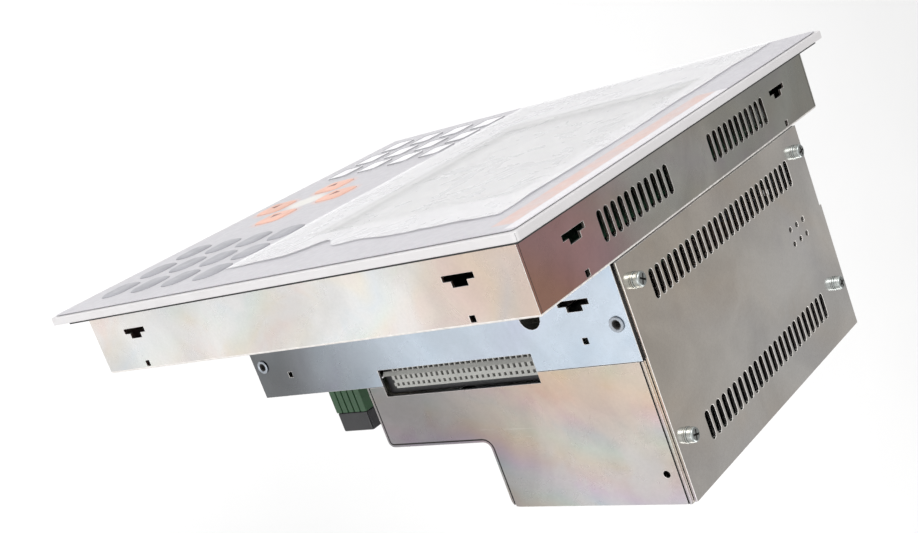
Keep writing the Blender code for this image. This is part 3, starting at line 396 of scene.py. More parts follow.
def circuit_board(name):
    """Green solder resist over copper tracks, with tinned pads."""
    made, tree, shader = finish(name, (0.01, 0.06, 0.03), 0.4, 0.0, Coat_Weight=0.2, Coat_Roughness=0.3)
    place = coordinates(tree, (1, 1, 1), (math.pi / 2, 0, 0))
    tracks = put(tree, "ShaderNodeTexBrick", {"Vector": place, "Scale": 260.0, "Mortar Size": 0.03})
    raised = remap(tree, tracks.outputs["Fac"], 0.2, 0.8)
    patches = remap(tree, grain(tree, place, 70.0, 2.0), 0.45, 0.5)
    lit = maths(tree, "MULTIPLY", raised, patches)
    resist = mixed(tree, lit, (0.012, 0.05, 0.025), (0.02, 0.09, 0.045))
    pads = put(tree, "ShaderNodeTexVoronoi", {"Vector": place, "Scale": 190.0}).outputs["Distance"]
    link(tree, mixed(tree, remap(tree, pads, 0.16, 0.12), resist, (0.3, 0.29, 0.26)), shader, "Base Color")
    bumped(tree, shader, lit, 0.3, 0.1 * MM)
    return made


def turned_metal(name, colour, rough):
    """Bright plated steel, aluminium or brass with fine turning lines and a few dull spots."""
    made, tree, shader = finish(name, colour, rough, 1.0)
    place = coordinates(tree)
    dull = remap(tree, grain(tree, place, 320.0, 4.0), 0.3, 0.7, rough - 0.06, rough + 0.14)
    link(tree, dull, shader, "Roughness")
    tone = ramp(tree, grain(tree, place, 260.0, 3.0), [(0.3, 0.82), (0.7, 1.0)])
    link(tree, mixed(tree, 1.0, colour, tone, "MULTIPLY"), shader, "Base Color")
    bumped(tree, shader, grain(tree, place, 2400.0, 2.0), 0.12, 0.05 * MM)
    return made


def make_finishes():
    cream = (1.0, 0.97, 0.9)
    lilac = (0.95, 0.91, 1.0)
    blue = (0.9, 0.96, 1.0)
    mint = (0.93, 1.0, 0.96)
    made = {
        # The side and top copies of the zinc differ partly in the film's colour and partly in painted light
        # and shade: each is set as bright as that face looks under the lamps.
        "tray_side": zinc(
            "zinc_tray_side",
            (0.7, 0.69, 0.68),
            ((1.0, 0.94, 0.82), (1.0, 0.88, 0.84), (1.0, 0.96, 0.86), (0.88, 0.95, 1.0), (0.93, 1.0, 0.95)),
            (0, 18, 7),
            1.0,
            # Painted shade with some of the film's tint: the side turns darker and pinker toward the top.
            tint_and_painted_shade=[((0, 0, 1), 0.24, 0.36, (0.6, 0.49, 0.43))],
        ),
        "tray_top": zinc(
            "zinc_tray_top",
            (0.64, 0.64, 0.6),
            ((1.0, 0.93, 0.9), (0.92, 0.84, 0.95), (1.0, 0.95, 0.88)),
            (4, 22, 0),
            0.8,
            # The film's own tint with painted shade: darker and greener toward -X, rose and then orange-brown
            # toward the +X corner.
            tint_and_painted_shade=[
                ((-1, 0, 0), 0.02, 0.15, (0.5, 0.51, 0.47)),
                ((1, 0.2, 0), 0.07, 0.16, (0.62, 0.38, 0.38)),
                ((1, 1.5, 0), 0.175, 0.215, (0.66, 0.37, 0.28)),
            ],
        ),
        "zinc": zinc("zinc_wall", (0.62, 0.62, 0.62), (cream, lilac, blue, mint), (3, 5, 3), 0.7),
        "middle_side": zinc(
            "zinc_middle_side",
            (0.52, 0.585, 0.66),
            (blue, (1, 1, 1), (0.97, 0.9, 0.98), (1, 1, 1)),
            (0, 7, 9),
            0.8,
            # Painted shade: the side turns much darker toward the bottom.
            tint_and_painted_shade=[((0, 0, -1), -0.17, -0.02, (0.14, 0.145, 0.15))],
        ),
        "cover_side": zinc(
            "zinc_cover_side",
            (0.5, 0.48, 0.475),
            ((1.0, 0.93, 0.8), (1.0, 0.86, 0.84), (0.94, 0.83, 0.98), (0.82, 0.92, 1.0), (0.88, 1.0, 0.93)),
            (0, 24, -4),
            1.0,
            # Warmer toward the front edge, which is the film's own tint; painted shade makes it darker toward
            # the bottom.
            tint_and_painted_shade=[
                ((0, -1, 0), -0.125, -0.08, (0.56, 0.47, 0.4)),
                ((0, 0.25, -1), -0.21, -0.1, (0.26, 0.25, 0.25)),
            ],
        ),
        "plate": zinc(
            "zinc_plate",
            (0.84, 0.77, 0.68),
            ((1, 0.95, 0.9), (0.93, 0.93, 0.96), (1, 1, 1)),
            (9, 12, 0),
            0.9,
            (0.09, 0.2),
            # Painted light: the plate turns lighter and more neutral toward the rear.
            tint_and_painted_shade=[((-0.6, 1, 0), 0.03, 0.2, (0.97, 0.95, 0.92))],
        ),
        # Lighter metal on every rounded edge of the sheets: partly bare metal, partly a painted highlight.
        "bare_edge": turned_metal("bare_edge", (0.86, 0.83, 0.8), 0.5),
        # Painted shade: a near-black finish on seam walls, groove floors, screw recesses and nut bores, where
        # there is only shade.
        "crevice": plastic("seam_shadow", (0.03, 0.028, 0.026), 0.8),
        "bezel": paint("bezel_paint", (0.6, 0.585, 0.59), 0.45),
        "key_white": plastic("key_white", (0.86, 0.85, 0.87), 0.42),
        "key_grey": plastic("key_grey", (0.34, 0.34, 0.37), 0.45),
        "key_orange": plastic("key_orange", (0.74, 0.45, 0.36), 0.5),
        # Painted shade on the walls of the function keys' rims, which reads as a dark outline.
        "key_line": plastic("key_outline", (0.42, 0.42, 0.44), 0.5),
        "ink": plastic("arrow_ink", (0.22, 0.07, 0.05), 0.5),
        "seal": plastic("seal_foam", (0.03, 0.03, 0.03), 0.85, 1200.0, 0.6),
        "screen": screen("display_glass", *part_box("display_window")),
        "film": cling_film("shipping_film"),
        "screw": turned_metal("bright_zinc", (0.45, 0.48, 0.47), 0.27),
        "nut": turned_metal("pressed_zinc", (0.38, 0.41, 0.45), 0.34),
        "contact": turned_metal("tinned_contact", (0.8, 0.8, 0.78), 0.25),
        "connector": plastic("connector_grey", (0.36, 0.36, 0.34), 0.5),
        "black": plastic("shroud_black", (0.014, 0.014, 0.016), 0.42),
        # Painted shade: the green is darkened because the terminal sits in shadow.
        "green": plastic("terminal_green", (0.015, 0.062, 0.021), 0.45),
        "lcd": turned_metal("lcd_frame", (0.4, 0.4, 0.42), 0.35),
        "board": circuit_board("board_resist"),
        "aluminium": turned_metal("sink_aluminium", (0.72, 0.72, 0.74), 0.35),
        "brass": turned_metal("standoff_brass", (0.75, 0.58, 0.3), 0.28),
    }
    corner = CAD_BOX[1]
    band = (-42 * MM, corner.x - 12 * MM, corner.z - 21 * MM, corner.z - 9 * MM)
    arrows = [centre_of("arrow_key_" + name) for name in ("up", "down", "left", "right")]
    middle = sum(arrows, Vector()) / 4
    places = [(arrow.x, arrow.z) for arrow in arrows]
    made["foil"] = printed_foil("printed_foil", (0.5, 0.49, 0.52), band, (middle.x, middle.z), places)
    return made


# -------------------------------------------------------------- mesh helpers


def new_piece(name, builder, *materials, smooth=True):
    """A plain mesh piece from a bmesh, at the origin."""
    mesh = bpy.data.meshes.new(name)
    builder.to_mesh(mesh)
    builder.free()
    for material in materials:
        mesh.materials.append(material)
    made = bpy.data.objects.new(name, mesh)
    bpy.context.scene.collection.objects.link(made)
    if smooth:
        mesh.shade_smooth()
        mesh.set_sharp_from_angle(angle=SHARP)
    return made


def settled(piece):
    """Replaces a piece's mesh by what its modifiers make of it."""
    graph = bpy.context.evaluated_depsgraph_get()
    mesh = bpy.data.meshes.new_from_object(piece.evaluated_get(graph), depsgraph=graph)
    piece.modifiers.clear()
    piece.data = mesh
    return piece


def kept(piece, body, slot, *nodes):
    """Says what a finished piece rides on and which nodes it stands for. Its finish slot is not used."""
    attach(piece, body)
    if nodes:
        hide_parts(*nodes)
    return piece


def clean_copy(node, name):
    """A CAD node's shape as one joined mesh with flat faces whole."""
    builder = bmesh.new()
    builder.from_mesh(frame["nodes"][node].data)
    bmesh.ops.remove_doubles(builder, verts=builder.verts, dist=SAME_POINT)
    bmesh.ops.dissolve_limit(
        builder, angle_limit=math.radians(0.5), verts=builder.verts, edges=builder.edges
    )
    return new_piece(name, builder, smooth=False)


def add_box(builder, low, high):
    made = bmesh.ops.create_cube(builder, size=1.0)
    low, high = Vector(low), Vector(high)
    size = high - low
    for vertex in made["verts"]:
        vertex.co = Vector(
            (low[axis] + (vertex.co[axis] + 0.5) * size[axis]) for axis in range(3)
        )
    return made["verts"]


def carved(piece, boxes, material):
    """Cuts narrow seams, each a box, and gives their walls a material of their own."""
    if not piece.data.materials:
        piece.data.materials.append(finishes["zinc"])
    builder = bmesh.new()
    for low, high in boxes:
        add_box(builder, low, high)
    cutter = new_piece(piece.name + "_cutter", builder, material, smooth=False)
    difference = piece.modifiers.new("seams", "BOOLEAN")
    difference.operation = "DIFFERENCE"
    difference.object = cutter
    difference.solver = "EXACT"
    difference.use_self = True
    difference.material_mode = "TRANSFER"
    settled(piece)
    bpy.data.objects.remove(cutter, do_unlink=True)
    return piece


def facing(normal):
    """The axis a face looks along, such as +X or -Y."""
    axis = max(range(3), key=lambda index: abs(normal[index]))
    return ("+" if normal[axis] > 0 else "-") + "XYZ"[axis]


def coat(piece, usual, by_facing=None, inside=()):
    """Gives each face a material by the way it faces, so the side and the top of a sheet can take copies of
    one zinc that differ in painted light and shade. Seams and faces inside the given boxes take the dark
    painted shade.
    """
    data = piece.data
    seams = {face.index for face in data.polygons if carries_seam(data, face)}
    looks = list(by_facing or {})
    data.materials.clear()
    for name in (usual, *(by_facing or {}).values(), "crevice"):
        data.materials.append(finishes[name])
    for face in data.polygons:
        look = facing(face.normal)
        face.material_index = 1 + looks.index(look) if look in looks else 0
        in_box = any(holds(low, high, face.center) for low, high in inside)
        if face.index in seams or in_box:
            face.material_index = 1 + len(looks)
    return piece


def holds(low, high, point):
    return all(low[axis] < point[axis] < high[axis] for axis in range(3))


def carries_seam(data, face):
    return bool(data.materials) and data.materials[face.material_index] == finishes["crevice"]


def eased(piece, radius, folds=(), fold_radius=FOLD_EDGE, segments=2, edge=None):
    """Rounds sharp edges: the edges that lie in a fold's box by fold_radius, all others by radius.

    With an edge material, the rounded edges take it.
    """
    if edge:
        piece.data.materials.append(finishes[edge])
    builder = bmesh.new()
    builder.from_mesh(piece.data)
    weight = builder.edges.layers.float.new("bevel_weight_edge")
    for line in builder.edges:
        in_seam = any(carries_seam(piece.data, face) for face in line.link_faces)
        if in_seam or len(line.link_faces) != 2 or line.calc_face_angle(0.0) < SHARP:
            continue
        share = radius / fold_radius
        for low, high in folds:
            if all(holds(low, high, end.co) for end in line.verts):
                share = 1.0
        line[weight] = share
    builder.to_mesh(piece.data)
    builder.free()
    rounding = piece.modifiers.new("edges", "BEVEL")
    rounding.limit_method = "WEIGHT"
    rounding.width = fold_radius
    rounding.segments = segments
    rounding.use_clamp_overlap = False
    if edge:
        rounding.material = len(piece.data.materials) - 1
    flats = piece.modifiers.new("flats", "WEIGHTED_NORMAL")
    flats.weight = 100
    piece.data.shade_smooth()
    return settled(piece)


def around(low, high, margin):
    """A box grown by a margin."""
    grow = Vector((margin,) * 3)
    return (Vector(low) - grow, Vector(high) + grow)


def on_circle(radius, angle):
    return radius * math.cos(angle), radius * math.sin(angle)


def rim_point(radius, angle):
    """A point on a circle about X, seen from its middle."""
    return Vector((0, *on_circle(radius, angle)))


def turned(name, profile, sides, *materials):
    """A round piece about Z: profile lists (radius, height), closed on the axis at both ends."""
    builder = bmesh.new()
    rings = []
    for radius, height in profile:
        if radius < 1e-6:
            rings.append([builder.verts.new((0, 0, height))])
            continue
        turn = 2 * math.pi / sides
        rings.append(
            [
                builder.verts.new((*on_circle(radius, turn * side), height))
                for side in range(sides)
            ]
        )
    for lower, upper in zip(rings, rings[1:]):
        for side in range(sides):
            corners = [lower[(side - 1) % len(lower)], lower[side % len(lower)]]
            corners += [upper[side % len(upper)], upper[(side - 1) % len(upper)]]
            unique = list(dict.fromkeys(corners))
            if len(unique) > 2:
                builder.faces.new(unique)
    bmesh.ops.recalc_face_normals(builder, faces=builder.faces)
    return new_piece(name, builder, *materials)


# ------------------------------------------------------------ geometry nodes


def node_tree(name, sizes):
    """A Geometry Nodes group with named inputs, each a name, a socket type and a value."""
    tree = bpy.data.node_groups.new(name, "GeometryNodeTree")
    tree.interface.new_socket("Geometry", in_out="INPUT", socket_type="NodeSocketGeometry")
    for label, kind, value in sizes:
        socket = tree.interface.new_socket(label, in_out="INPUT", socket_type=kind)
        if value is not None:
            socket.default_value = value
    tree.interface.new_socket("Geometry", in_out="OUTPUT", socket_type="NodeSocketGeometry")
    return tree, tree.nodes.new("NodeGroupInput"), tree.nodes.new("NodeGroupOutput")


def spread_tree():
    """Sets one finished piece on every point, each turned about Z by a random amount."""
    sizes = [
        ("Piece", "NodeSocketObject", None),
        ("Turn", "NodeSocketFloat", 0.0),
        ("Seed", "NodeSocketInt", 1),
        ("Material", "NodeSocketMaterial", None),
        ("Recess Material", "NodeSocketMaterial", None),
    ]
    tree, start, end = node_tree("spread_pieces", sizes)
    piece = put(tree, "GeometryNodeObjectInfo", {"Object": start.outputs["Piece"]})
    points = put(tree, "GeometryNodeMeshToPoints", {"Mesh": start.outputs["Geometry"]})
    turn = put(tree, "FunctionNodeRandomValue", {"Max": start.outputs["Turn"], "Seed": start.outputs["Seed"]})
    tree.links.new(start.outputs["Turn"], turn.inputs[3])
    angle = put(tree, "ShaderNodeCombineXYZ", {"Z": turn.outputs[1]})
    inputs = {"Points": points.outputs[0], "Instance": piece.outputs["Geometry"]}
    inputs["Rotation"] = angle.outputs[0]
    copies = put(tree, "GeometryNodeInstanceOnPoints", inputs)
    real = put(tree, "GeometryNodeRealizeInstances", {0: copies.outputs[0]})
    coated = put(tree, "GeometryNodeSetMaterial", {0: real.outputs[0], "Material": start.outputs["Material"]})
    recess = put(tree, "GeometryNodeInputNamedAttribute", {"Name": "recess"}, data_type="BOOLEAN").outputs[0]
    inputs = {0: coated.outputs[0], "Selection": recess, "Material": start.outputs["Recess Material"]}
    shaded = put(tree, "GeometryNodeSetMaterial", inputs)
    tree.links.new(shaded.outputs[0], end.inputs[0])
    return tree


def use_tree(piece, tree, **values):
    """Runs a tree on a piece and keeps the result as its mesh."""
    modifier = piece.modifiers.new(tree.name, "NODES")
    modifier.node_group = tree
    for item in tree.interface.items_tree:
        label = item.name.replace(" ", "_")
        if item.in_out == "INPUT" and label in values:
            modifier[item.identifier] = values[label]
    return settled(piece)


def points_at(name, places):
    """A mesh of loose points."""
    builder = bmesh.new()
    for place in places:
        builder.verts.new(place)
    return new_piece(name, builder, smooth=False)


# ------------------------------------------------------------------ the pieces


def centre_of(node):
    low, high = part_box(node)
    return (low + high) / 2


def make_tray():
    """The front housing: butt seams at its four corners and bent edges at the rear."""
    low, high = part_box("front_tray")
    tray = clean_copy("front_tray", "tray_shell")
    seams = []
    for side in (-1, 1):
        for level in (low.z, high.z):
            across = sorted((side * (high.x - SHEET), side * (high.x - SHEET - SEAM_WIDTH)))
            tall = (level - SEAM_DEPTH, level + SEAM_DEPTH)
            seams.append(((across[0], low.y - MM, tall[0]), (across[1], high.y - SHEET, tall[1])))
    # The seam walls take the painted shade.
    carved(tray, seams, finishes["crevice"])
    coat(tray, "zinc", {"+X": "tray_side", "+Z": "tray_top"})
    rear = around((low.x, high.y, low.z), high, 0.05 * MM)
    eased(tray, CUT_EDGE, [rear], edge="bare_edge")
    kept(tray, HOUSING, "zinc_sheet", "front_tray")


def make_middle_housing():
    low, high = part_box("middle_housing")
    housing = clean_copy("middle_housing", "middle_shell")
    seam_start = (high.x - SHEET - SEAM_WIDTH, low.y - MM, low.z - SEAM_DEPTH)
    seam_end = (high.x - SHEET, high.y + MM, low.z + SEAM_DEPTH)
    # The seam's walls take the painted shade.
    carved(housing, [(seam_start, seam_end)], finishes["crevice"])
    # Painted shade: the lip along the top of the side wall is darkened as a groove in shadow.
    lip_start = (high.x - 3 * MM, low.y - MM, high.z - LIP_FLOOR)
    lip = (lip_start, (high.x - 0.1 * MM, high.y + MM, high.z - 0.1 * MM))
    coat(housing, "zinc", {"+X": "middle_side"}, [lip])
    eased(housing, CUT_EDGE, edge="bare_edge")
    kept(housing, HOUSING, "zinc_sheet", "middle_housing")


def make_rear_cover():
    low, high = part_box("rear_cover")
    cover = clean_copy("rear_cover", "stepped_cover")
    # Painted shade: the faces in the grooves take the dark finish.
    grooves = ((high.x - GROOVE_FLOOR, low.y, low.z), (high.x - 0.05 * MM, high.y + MM, high.z + MM))
    coat(cover, "zinc", {"+X": "cover_side", "+Z": "plate"}, [grooves])
    eased(cover, CUT_EDGE, fold_radius=CUT_EDGE, edge="bare_edge")
    kept(cover, HOUSING, "zinc_cover", "rear_cover")


def make_top_plate():
    plate = clean_copy("top_plate", "vented_plate")
    coat(plate, "plate", {"+X": "cover_side"})
    eased(plate, 0.25 * MM, fold_radius=0.25 * MM, edge="bare_edge")
    kept(plate, HOUSING, "zinc_plate", "top_plate")


def make_bezel():
    bezel = clean_copy("bezel_frame", "front_bezel")
    coat(bezel, "bezel")
    eased(bezel, PAINTED_EDGE, segments=3, fold_radius=PAINTED_EDGE)
    kept(bezel, HOUSING, "bezel_paint", "bezel_frame")


def make_foil():
    """The printed foil stops short of the bezel's edge all round."""
    foil = clean_copy("front_foil", "key_foil")
    low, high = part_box("front_foil")
    middle = (low + high) / 2
    for vertex in foil.data.vertices:
        if abs(vertex.co.x) > high.x - 2 * FOIL_INSET:
            vertex.co.x -= math.copysign(FOIL_INSET, vertex.co.x)
            vertex.co.z -= math.copysign(FOIL_INSET, vertex.co.z - middle.z)
    coat(foil, "foil")
    eased(foil, 0.1 * MM)
    kept(foil, HOUSING, "foil", "front_foil")


def rounded_ring(centre, half, radius, depth):
    """A rectangle with round corners in a plane that faces the operator."""
    points = []
    for corner, (side_x, side_z) in enumerate(((1, 1), (-1, 1), (-1, -1), (1, -1))):
        for step in range(ARC_STEPS + 1):
            angle = math.radians(90 * (corner + step / ARC_STEPS))
            points.append(
                (
                    centre.x + side_x * (half[0] - radius) + radius * math.cos(angle),
                    depth,
                    centre.z + side_z * (half[1] - radius) + radius * math.sin(angle),
                )
            )
    return points


def domed(low, high):
    """A pillow key's section: distance in from its outline, depth and whether the band there takes the
    painted rim shade.
    """
    face = low.y + KEY_PROUD
    section = [(0.0, high.y, False), (0.0, face - 0.1 * MM, False)]
    for step in range(1, 7):
        turn = math.pi / 2 * step / 6
        rise = (KEY_PROUD - MARK_HEIGHT) * math.sin(turn)
        section.append((KEY_SHOULDER * (1 - math.cos(turn)), face - rise, False))
    return section


def rimmed(low, high):
    """A rim-embossed key's section: a narrow ridge around a flat cap, its walls darkened as painted shade."""
    face = low.y + KEY_PROUD
    section = [(0.0, high.y, False), (0.0, face - 0.1 * MM, False), (0.1 * MM, low.y + 0.2 * MM, True)]
    section += [(0.3 * MM, low.y, False), (0.6 * MM, low.y, False), (0.8 * MM, low.y + 0.1 * MM, True)]
    section += [(1.0 * MM, low.y + RIM_DROP, True), (1.6 * MM, low.y + RIM_DROP, False)]
    return section


def make_key(node, cap, section, slot, radius):
    """An embossed key, lofted inwards along its section."""
    low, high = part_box(node)
    centre = (low + high) / 2
    half = ((high.x - low.x) / 2, (high.z - low.z) / 2)
    builder = bmesh.new()
    rings = []
    for inset, depth, dark in section(low, high):
        size = (half[0] - inset, half[1] - inset)
        corner = max(radius - inset, 0.8 * MM)
        ring = [builder.verts.new(point) for point in rounded_ring(centre, size, corner, depth)]
        for index in range(len(ring) if rings else 0):
            lower = rings[-1]
            band = builder.faces.new((lower[index - 1], lower[index], ring[index], ring[index - 1]))
            # Bands marked dark take the painted rim shade.
            band.material_index = 1 if dark else 0
        rings.append(ring)
    builder.faces.new(rings[0])
    builder.faces.new(rings[-1])
    bmesh.ops.recalc_face_normals(builder, faces=builder.faces)
    piece = new_piece(node + "_cap", builder, finishes[cap], finishes["key_line"])
    return kept(piece, frame["nodes"][node]["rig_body"], slot, node)


def make_arrow(node, direction):
    """The printed mark of an arrow key, a shallow wedge just proud of the cap."""
    low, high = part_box(node)
    centre = (low + high) / 2
    across = Vector((direction[1], 0, direction[0]))
    ahead = Vector((direction[0], 0, direction[1]))
    builder = bmesh.new()
    corners = [ahead * 4.5 * MM, across * 4 * MM - ahead * 2.5 * MM, -across * 4 * MM - ahead * 2.5 * MM]
    base = Vector((centre.x, low.y, centre.z))
    face = builder.faces.new([builder.verts.new(base + corner) for corner in corners])
    deep = bmesh.ops.extrude_face_region(builder, geom=[face])
    for item in deep["geom"]:
        if isinstance(item, bmesh.types.BMVert):
            item.co.y += 0.15 * MM
    bmesh.ops.recalc_face_normals(builder, faces=builder.faces)
    piece = new_piece(node + "_mark", builder, finishes["ink"])
    kept(piece, frame["nodes"][node]["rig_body"], "orange_key")


def make_keys():
    for index in range(1, 13):
        make_key(f"function_key_{index:02d}", "key_white", rimmed, "white_key", 4 * MM)
        make_key(f"number_key_{index:02d}", "key_grey", domed, "grey_key", 7 * MM)
    directions = {"up": (0, 1), "down": (0, -1), "left": (-1, 0), "right": (1, 0)}
    for name, direction in directions.items():
        node = "arrow_key_" + name
        make_key(node, "key_orange", domed, "orange_key", 5 * MM)
        make_arrow(node, direction)


def make_screws(spread):
    """Pan-head screws with a cross recess, each on a flat washer."""
    nodes = [f"plate_screw_{index}" for index in range(1, 5)]
    low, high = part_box(nodes[0])
    radius = (high.x - low.x) / 2
    tall = high.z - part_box("top_plate")[1].z - 0.1 * MM
    flat = WASHER_HEIGHT - tall
    profile = [(0, low.z - high.z), (SCREW_SHANK, low.z - high.z), (SCREW_SHANK, -tall)]
    profile += [(radius - 0.1 * MM, -tall), (radius, 0.1 * MM - tall), (radius, flat - 0.1 * MM)]
    profile += [(radius - 0.1 * MM, flat), (radius * 0.85, flat)]
    profile += [(radius * 0.85, flat + 0.15 * MM), (radius * 0.94, flat + 0.3 * MM)]
    for step in range(9):
        turn = math.pi / 2 * step / 8
        profile.append((radius * 0.94 - CROWN * (1 - math.cos(turn)), CROWN * (math.sin(turn) - 1)))
    profile.append((0, 0))
    screw = turned("screw_pattern", profile, HEAD_SIDES, finishes["screw"])
    arm = radius * RECESS_ARM
    thin = radius * RECESS_WIDTH / 2
    cuts = [((-x, -y, -RECESS_DEPTH), (x, y, MM)) for x, y in ((arm, thin), (thin, arm))]
    # The cross recess takes the painted shade.
    carved(screw, cuts, finishes["crevice"])
    screw.data.shade_smooth()
    screw.data.set_sharp_from_angle(angle=SHARP)
    places = [Vector((centre_of(node).x, centre_of(node).y, high.z)) for node in nodes]
    screws = points_at("plate_screws", places)
    marked = screw.data.attributes.new("recess", "BOOLEAN", "FACE")
    marked.data.foreach_set("value", [carries_seam(screw.data, face) for face in screw.data.polygons])
    finish_pair = {"Material": finishes["screw"], "Recess_Material": finishes["crevice"]}
    use_tree(screws, spread, Piece=screw, Turn=1.5, Seed=4, **finish_pair)
    bpy.data.objects.remove(screw, do_unlink=True)
    kept(screws, HOUSING, "bright_zinc", *nodes)


def make_nuts():
    """Press-in nuts: a chamfered collar with a threaded bore."""
    for name in ("lower", "upper"):
        node = "press_nut_" + name
        low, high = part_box(node)
        centre = (low + high) / 2
        radius = (high.y - low.y) / 2
        profile = [(NUT_BORE, low.x), (radius - MM, low.x), (radius - MM, high.x - 0.7 * MM)]
        profile += [(radius, high.x - 0.7 * MM), (radius, high.x - 0.25 * MM), (radius - 0.35 * MM, high.x)]
        profile += [(NUT_BORE + 0.9 * MM, high.x), (NUT_BORE + 0.5 * MM, high.x - 0.3 * MM)]
        height = high.x - 0.3 * MM
        while height > low.x + MM:
            profile.append((NUT_BORE, height - THREAD_PITCH / 2))
            profile.append((NUT_BORE + 0.3 * MM, height - THREAD_PITCH))
            height -= THREAD_PITCH
        builder = bmesh.new()
        turn = 2 * math.pi / HEAD_SIDES
        rings = [
            [
                builder.verts.new(Vector((along_x, centre.y, centre.z)) + rim_point(r, turn * s))
                for s in range(HEAD_SIDES)
            ]
            for r, along_x in profile
        ]
        for index in range(len(rings)):
            first, second = rings[index - 1], rings[index]
            # The threaded bore takes the painted shade.
            thread = max(profile[index - 1][0], profile[index][0]) < NUT_BORE + 0.6 * MM
            for side in range(HEAD_SIDES):
                wall = builder.faces.new((first[side - 1], first[side], second[side], second[side - 1]))
                wall.material_index = 1 if thread else 0
        bmesh.ops.recalc_face_normals(builder, faces=builder.faces)
        nut = new_piece(f"pressed_nut_{name}", builder, finishes["nut"], finishes["crevice"])
        kept(nut, HOUSING, "bright_zinc", node)


def make_plain_copies():
    """Pieces whose shape stays as designed, with their edges rounded."""
    jobs = [
        ("panel_seal", "door_seal", "seal", "seal_rubber", 0.3),
        ("connector_shroud", "shroud", "black", "black_plastic", 0.25),
        ("terminal_header", "header_block", "green", "terminal_green", 0.25),
        ("display_window", "display_glass", "screen", "window_glass", 0.1),
    ]
    for node, name, material, slot, radius in jobs:
        piece = clean_copy(node, name)
        coat(piece, material)
        eased(piece, radius * MM, fold_radius=radius * MM)
        kept(piece, HOUSING, slot, node)
    for node, name, material, slot, radius in (
        ("terminal_plug", "wire_plug", "green", "terminal_green", 0.2),
        ("plug_hood", "wire_hood", "black", "black_plastic", 0.6),
    ):
        piece = clean_copy(node, name)
        coat(piece, material)
        eased(piece, radius * MM, fold_radius=radius * MM)
        kept(piece, "power_plug", slot, node)


def add_prism(builder, outline, start, end):
    """A prism along Z over an outline of (x, y) corners."""
    rings = [[builder.verts.new((x, y, level)) for x, y in outline] for level in (start, end)]
    faces = [builder.faces.new(ring) for ring in rings]
    for index in range(len(outline)):
        first, second = rings
        faces.append(builder.faces.new((first[index - 1], first[index], second[index], second[index - 1])))
    bmesh.ops.recalc_face_normals(builder, faces=faces)
    return faces


def make_connector(spread):
    """The grey socket strip: a comb of open ways, a sloping band, two rows of ways and tinned contacts."""
    low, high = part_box("io_connector")
    cut_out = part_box("connector_shroud")[0].z
    floor = high.x - WAY_DEPTH
    comb, band, first_row, rail, second_row = (low.y + step for step in CONNECTOR_STEPS)
    builder = bmesh.new()
    # The back of the strip, the floor of the wells, is black as painted shade in the deep wells.
    back = [(low.x, low.y), (floor, low.y), (floor, high.y), (low.x, high.y)]
    for face in add_prism(builder, back, low.z, high.z):
        face.material_index = 1
    slope = [(floor, comb), (high.x - BAND_FALL, comb), (high.x, band), (floor, band)]
    add_prism(builder, slope, low.z, high.z)
    ledge = high.x - 2.7 * MM
    slope = [(ledge, comb), (high.x - BAND_FALL, comb), (high.x, band), (ledge, band)]
    add_prism(builder, slope, cut_out + MM, low.z)
    for start, end in ((first_row, rail), (second_row, high.y)):
        add_prism(builder, [(floor, start), (high.x, start), (high.x, end), (floor, end)], low.z, high.z)
    strip = new_piece("socket_strip", builder, finishes["connector"], finishes["black"], smooth=False)
    kept(strip, HOUSING, "connector_plastic", "io_connector")

    steps = [low.z + WAY_PITCH * way for way in range(WAY_COUNT + 1)]
    gap = WAY_PITCH - WAY_OPENING
    teeth = [(low.y, comb, COMB_TOOTH, COMB_FALL), (band, first_row, gap, 0.0), (rail, second_row, gap, 0.0)]
    for index, (start, end, wide, fall) in enumerate(teeth, 1):
        builder = bmesh.new()
        add_box(builder, (-WAY_DEPTH, 0, -wide / 2), (-fall, end - start, wide / 2))
        bmesh.ops.bevel(builder, geom=builder.edges[:], offset=0.06 * MM, segments=1, affect="EDGES")
        tooth = new_piece("tooth_pattern", builder, finishes["connector"], smooth=False)
        webs = points_at(f"socket_webs_{index}", [Vector((high.x, start, level)) for level in steps])
        use_tree(webs, spread, Piece=tooth, Turn=0.0, Seed=1, Material=finishes["connector"])
        bpy.data.objects.remove(tooth, do_unlink=True)
        kept(webs, HOUSING, "connector_plastic")

    builder = bmesh.new()
    add_box(builder, (-0.5 * MM, -0.7 * MM, -0.2 * MM), (1.6 * MM, -0.4 * MM, 0.2 * MM))
    add_box(builder, (-0.5 * MM, 0.4 * MM, -0.2 * MM), (1.6 * MM, 0.7 * MM, 0.2 * MM))
    contact = new_piece("contact_pattern", builder, finishes["contact"], smooth=False)
    rows = ((band + first_row) / 2, (rail + second_row) / 2)
    middles = [level + WAY_PITCH / 2 for level in steps[:-1]]
    places = [Vector((floor + MM, row, level)) for row in rows for level in middles]
    contacts = points_at("socket_contacts", places)
    use_tree(contacts, spread, Piece=contact, Turn=0.0, Seed=1, Material=finishes["contact"])
    bpy.data.objects.remove(contact, do_unlink=True)
    kept(contacts, HOUSING, "bright_zinc")


def film_edge(across, height):
    """How the film's outline wanders from its straight cut, as a shift of one of its points."""
    wave = noise.noise(Vector((across * 22, height * 22, 3.1)))
    ripple = noise.noise(Vector((across * 90, height * 90, 7.7)))
    return (2.6 * wave + 0.7 * ripple) * MM


def pulled_in(height):
    """How far the film's right edge is pulled in: deeply below the middle, slightly a little higher up."""
    scallop = 15 * MM * math.exp(-(((height - 66 * MM) / (11 * MM)) ** 2))
    return scallop + 5 * MM * math.exp(-(((height - 96 * MM) / (16 * MM)) ** 2))


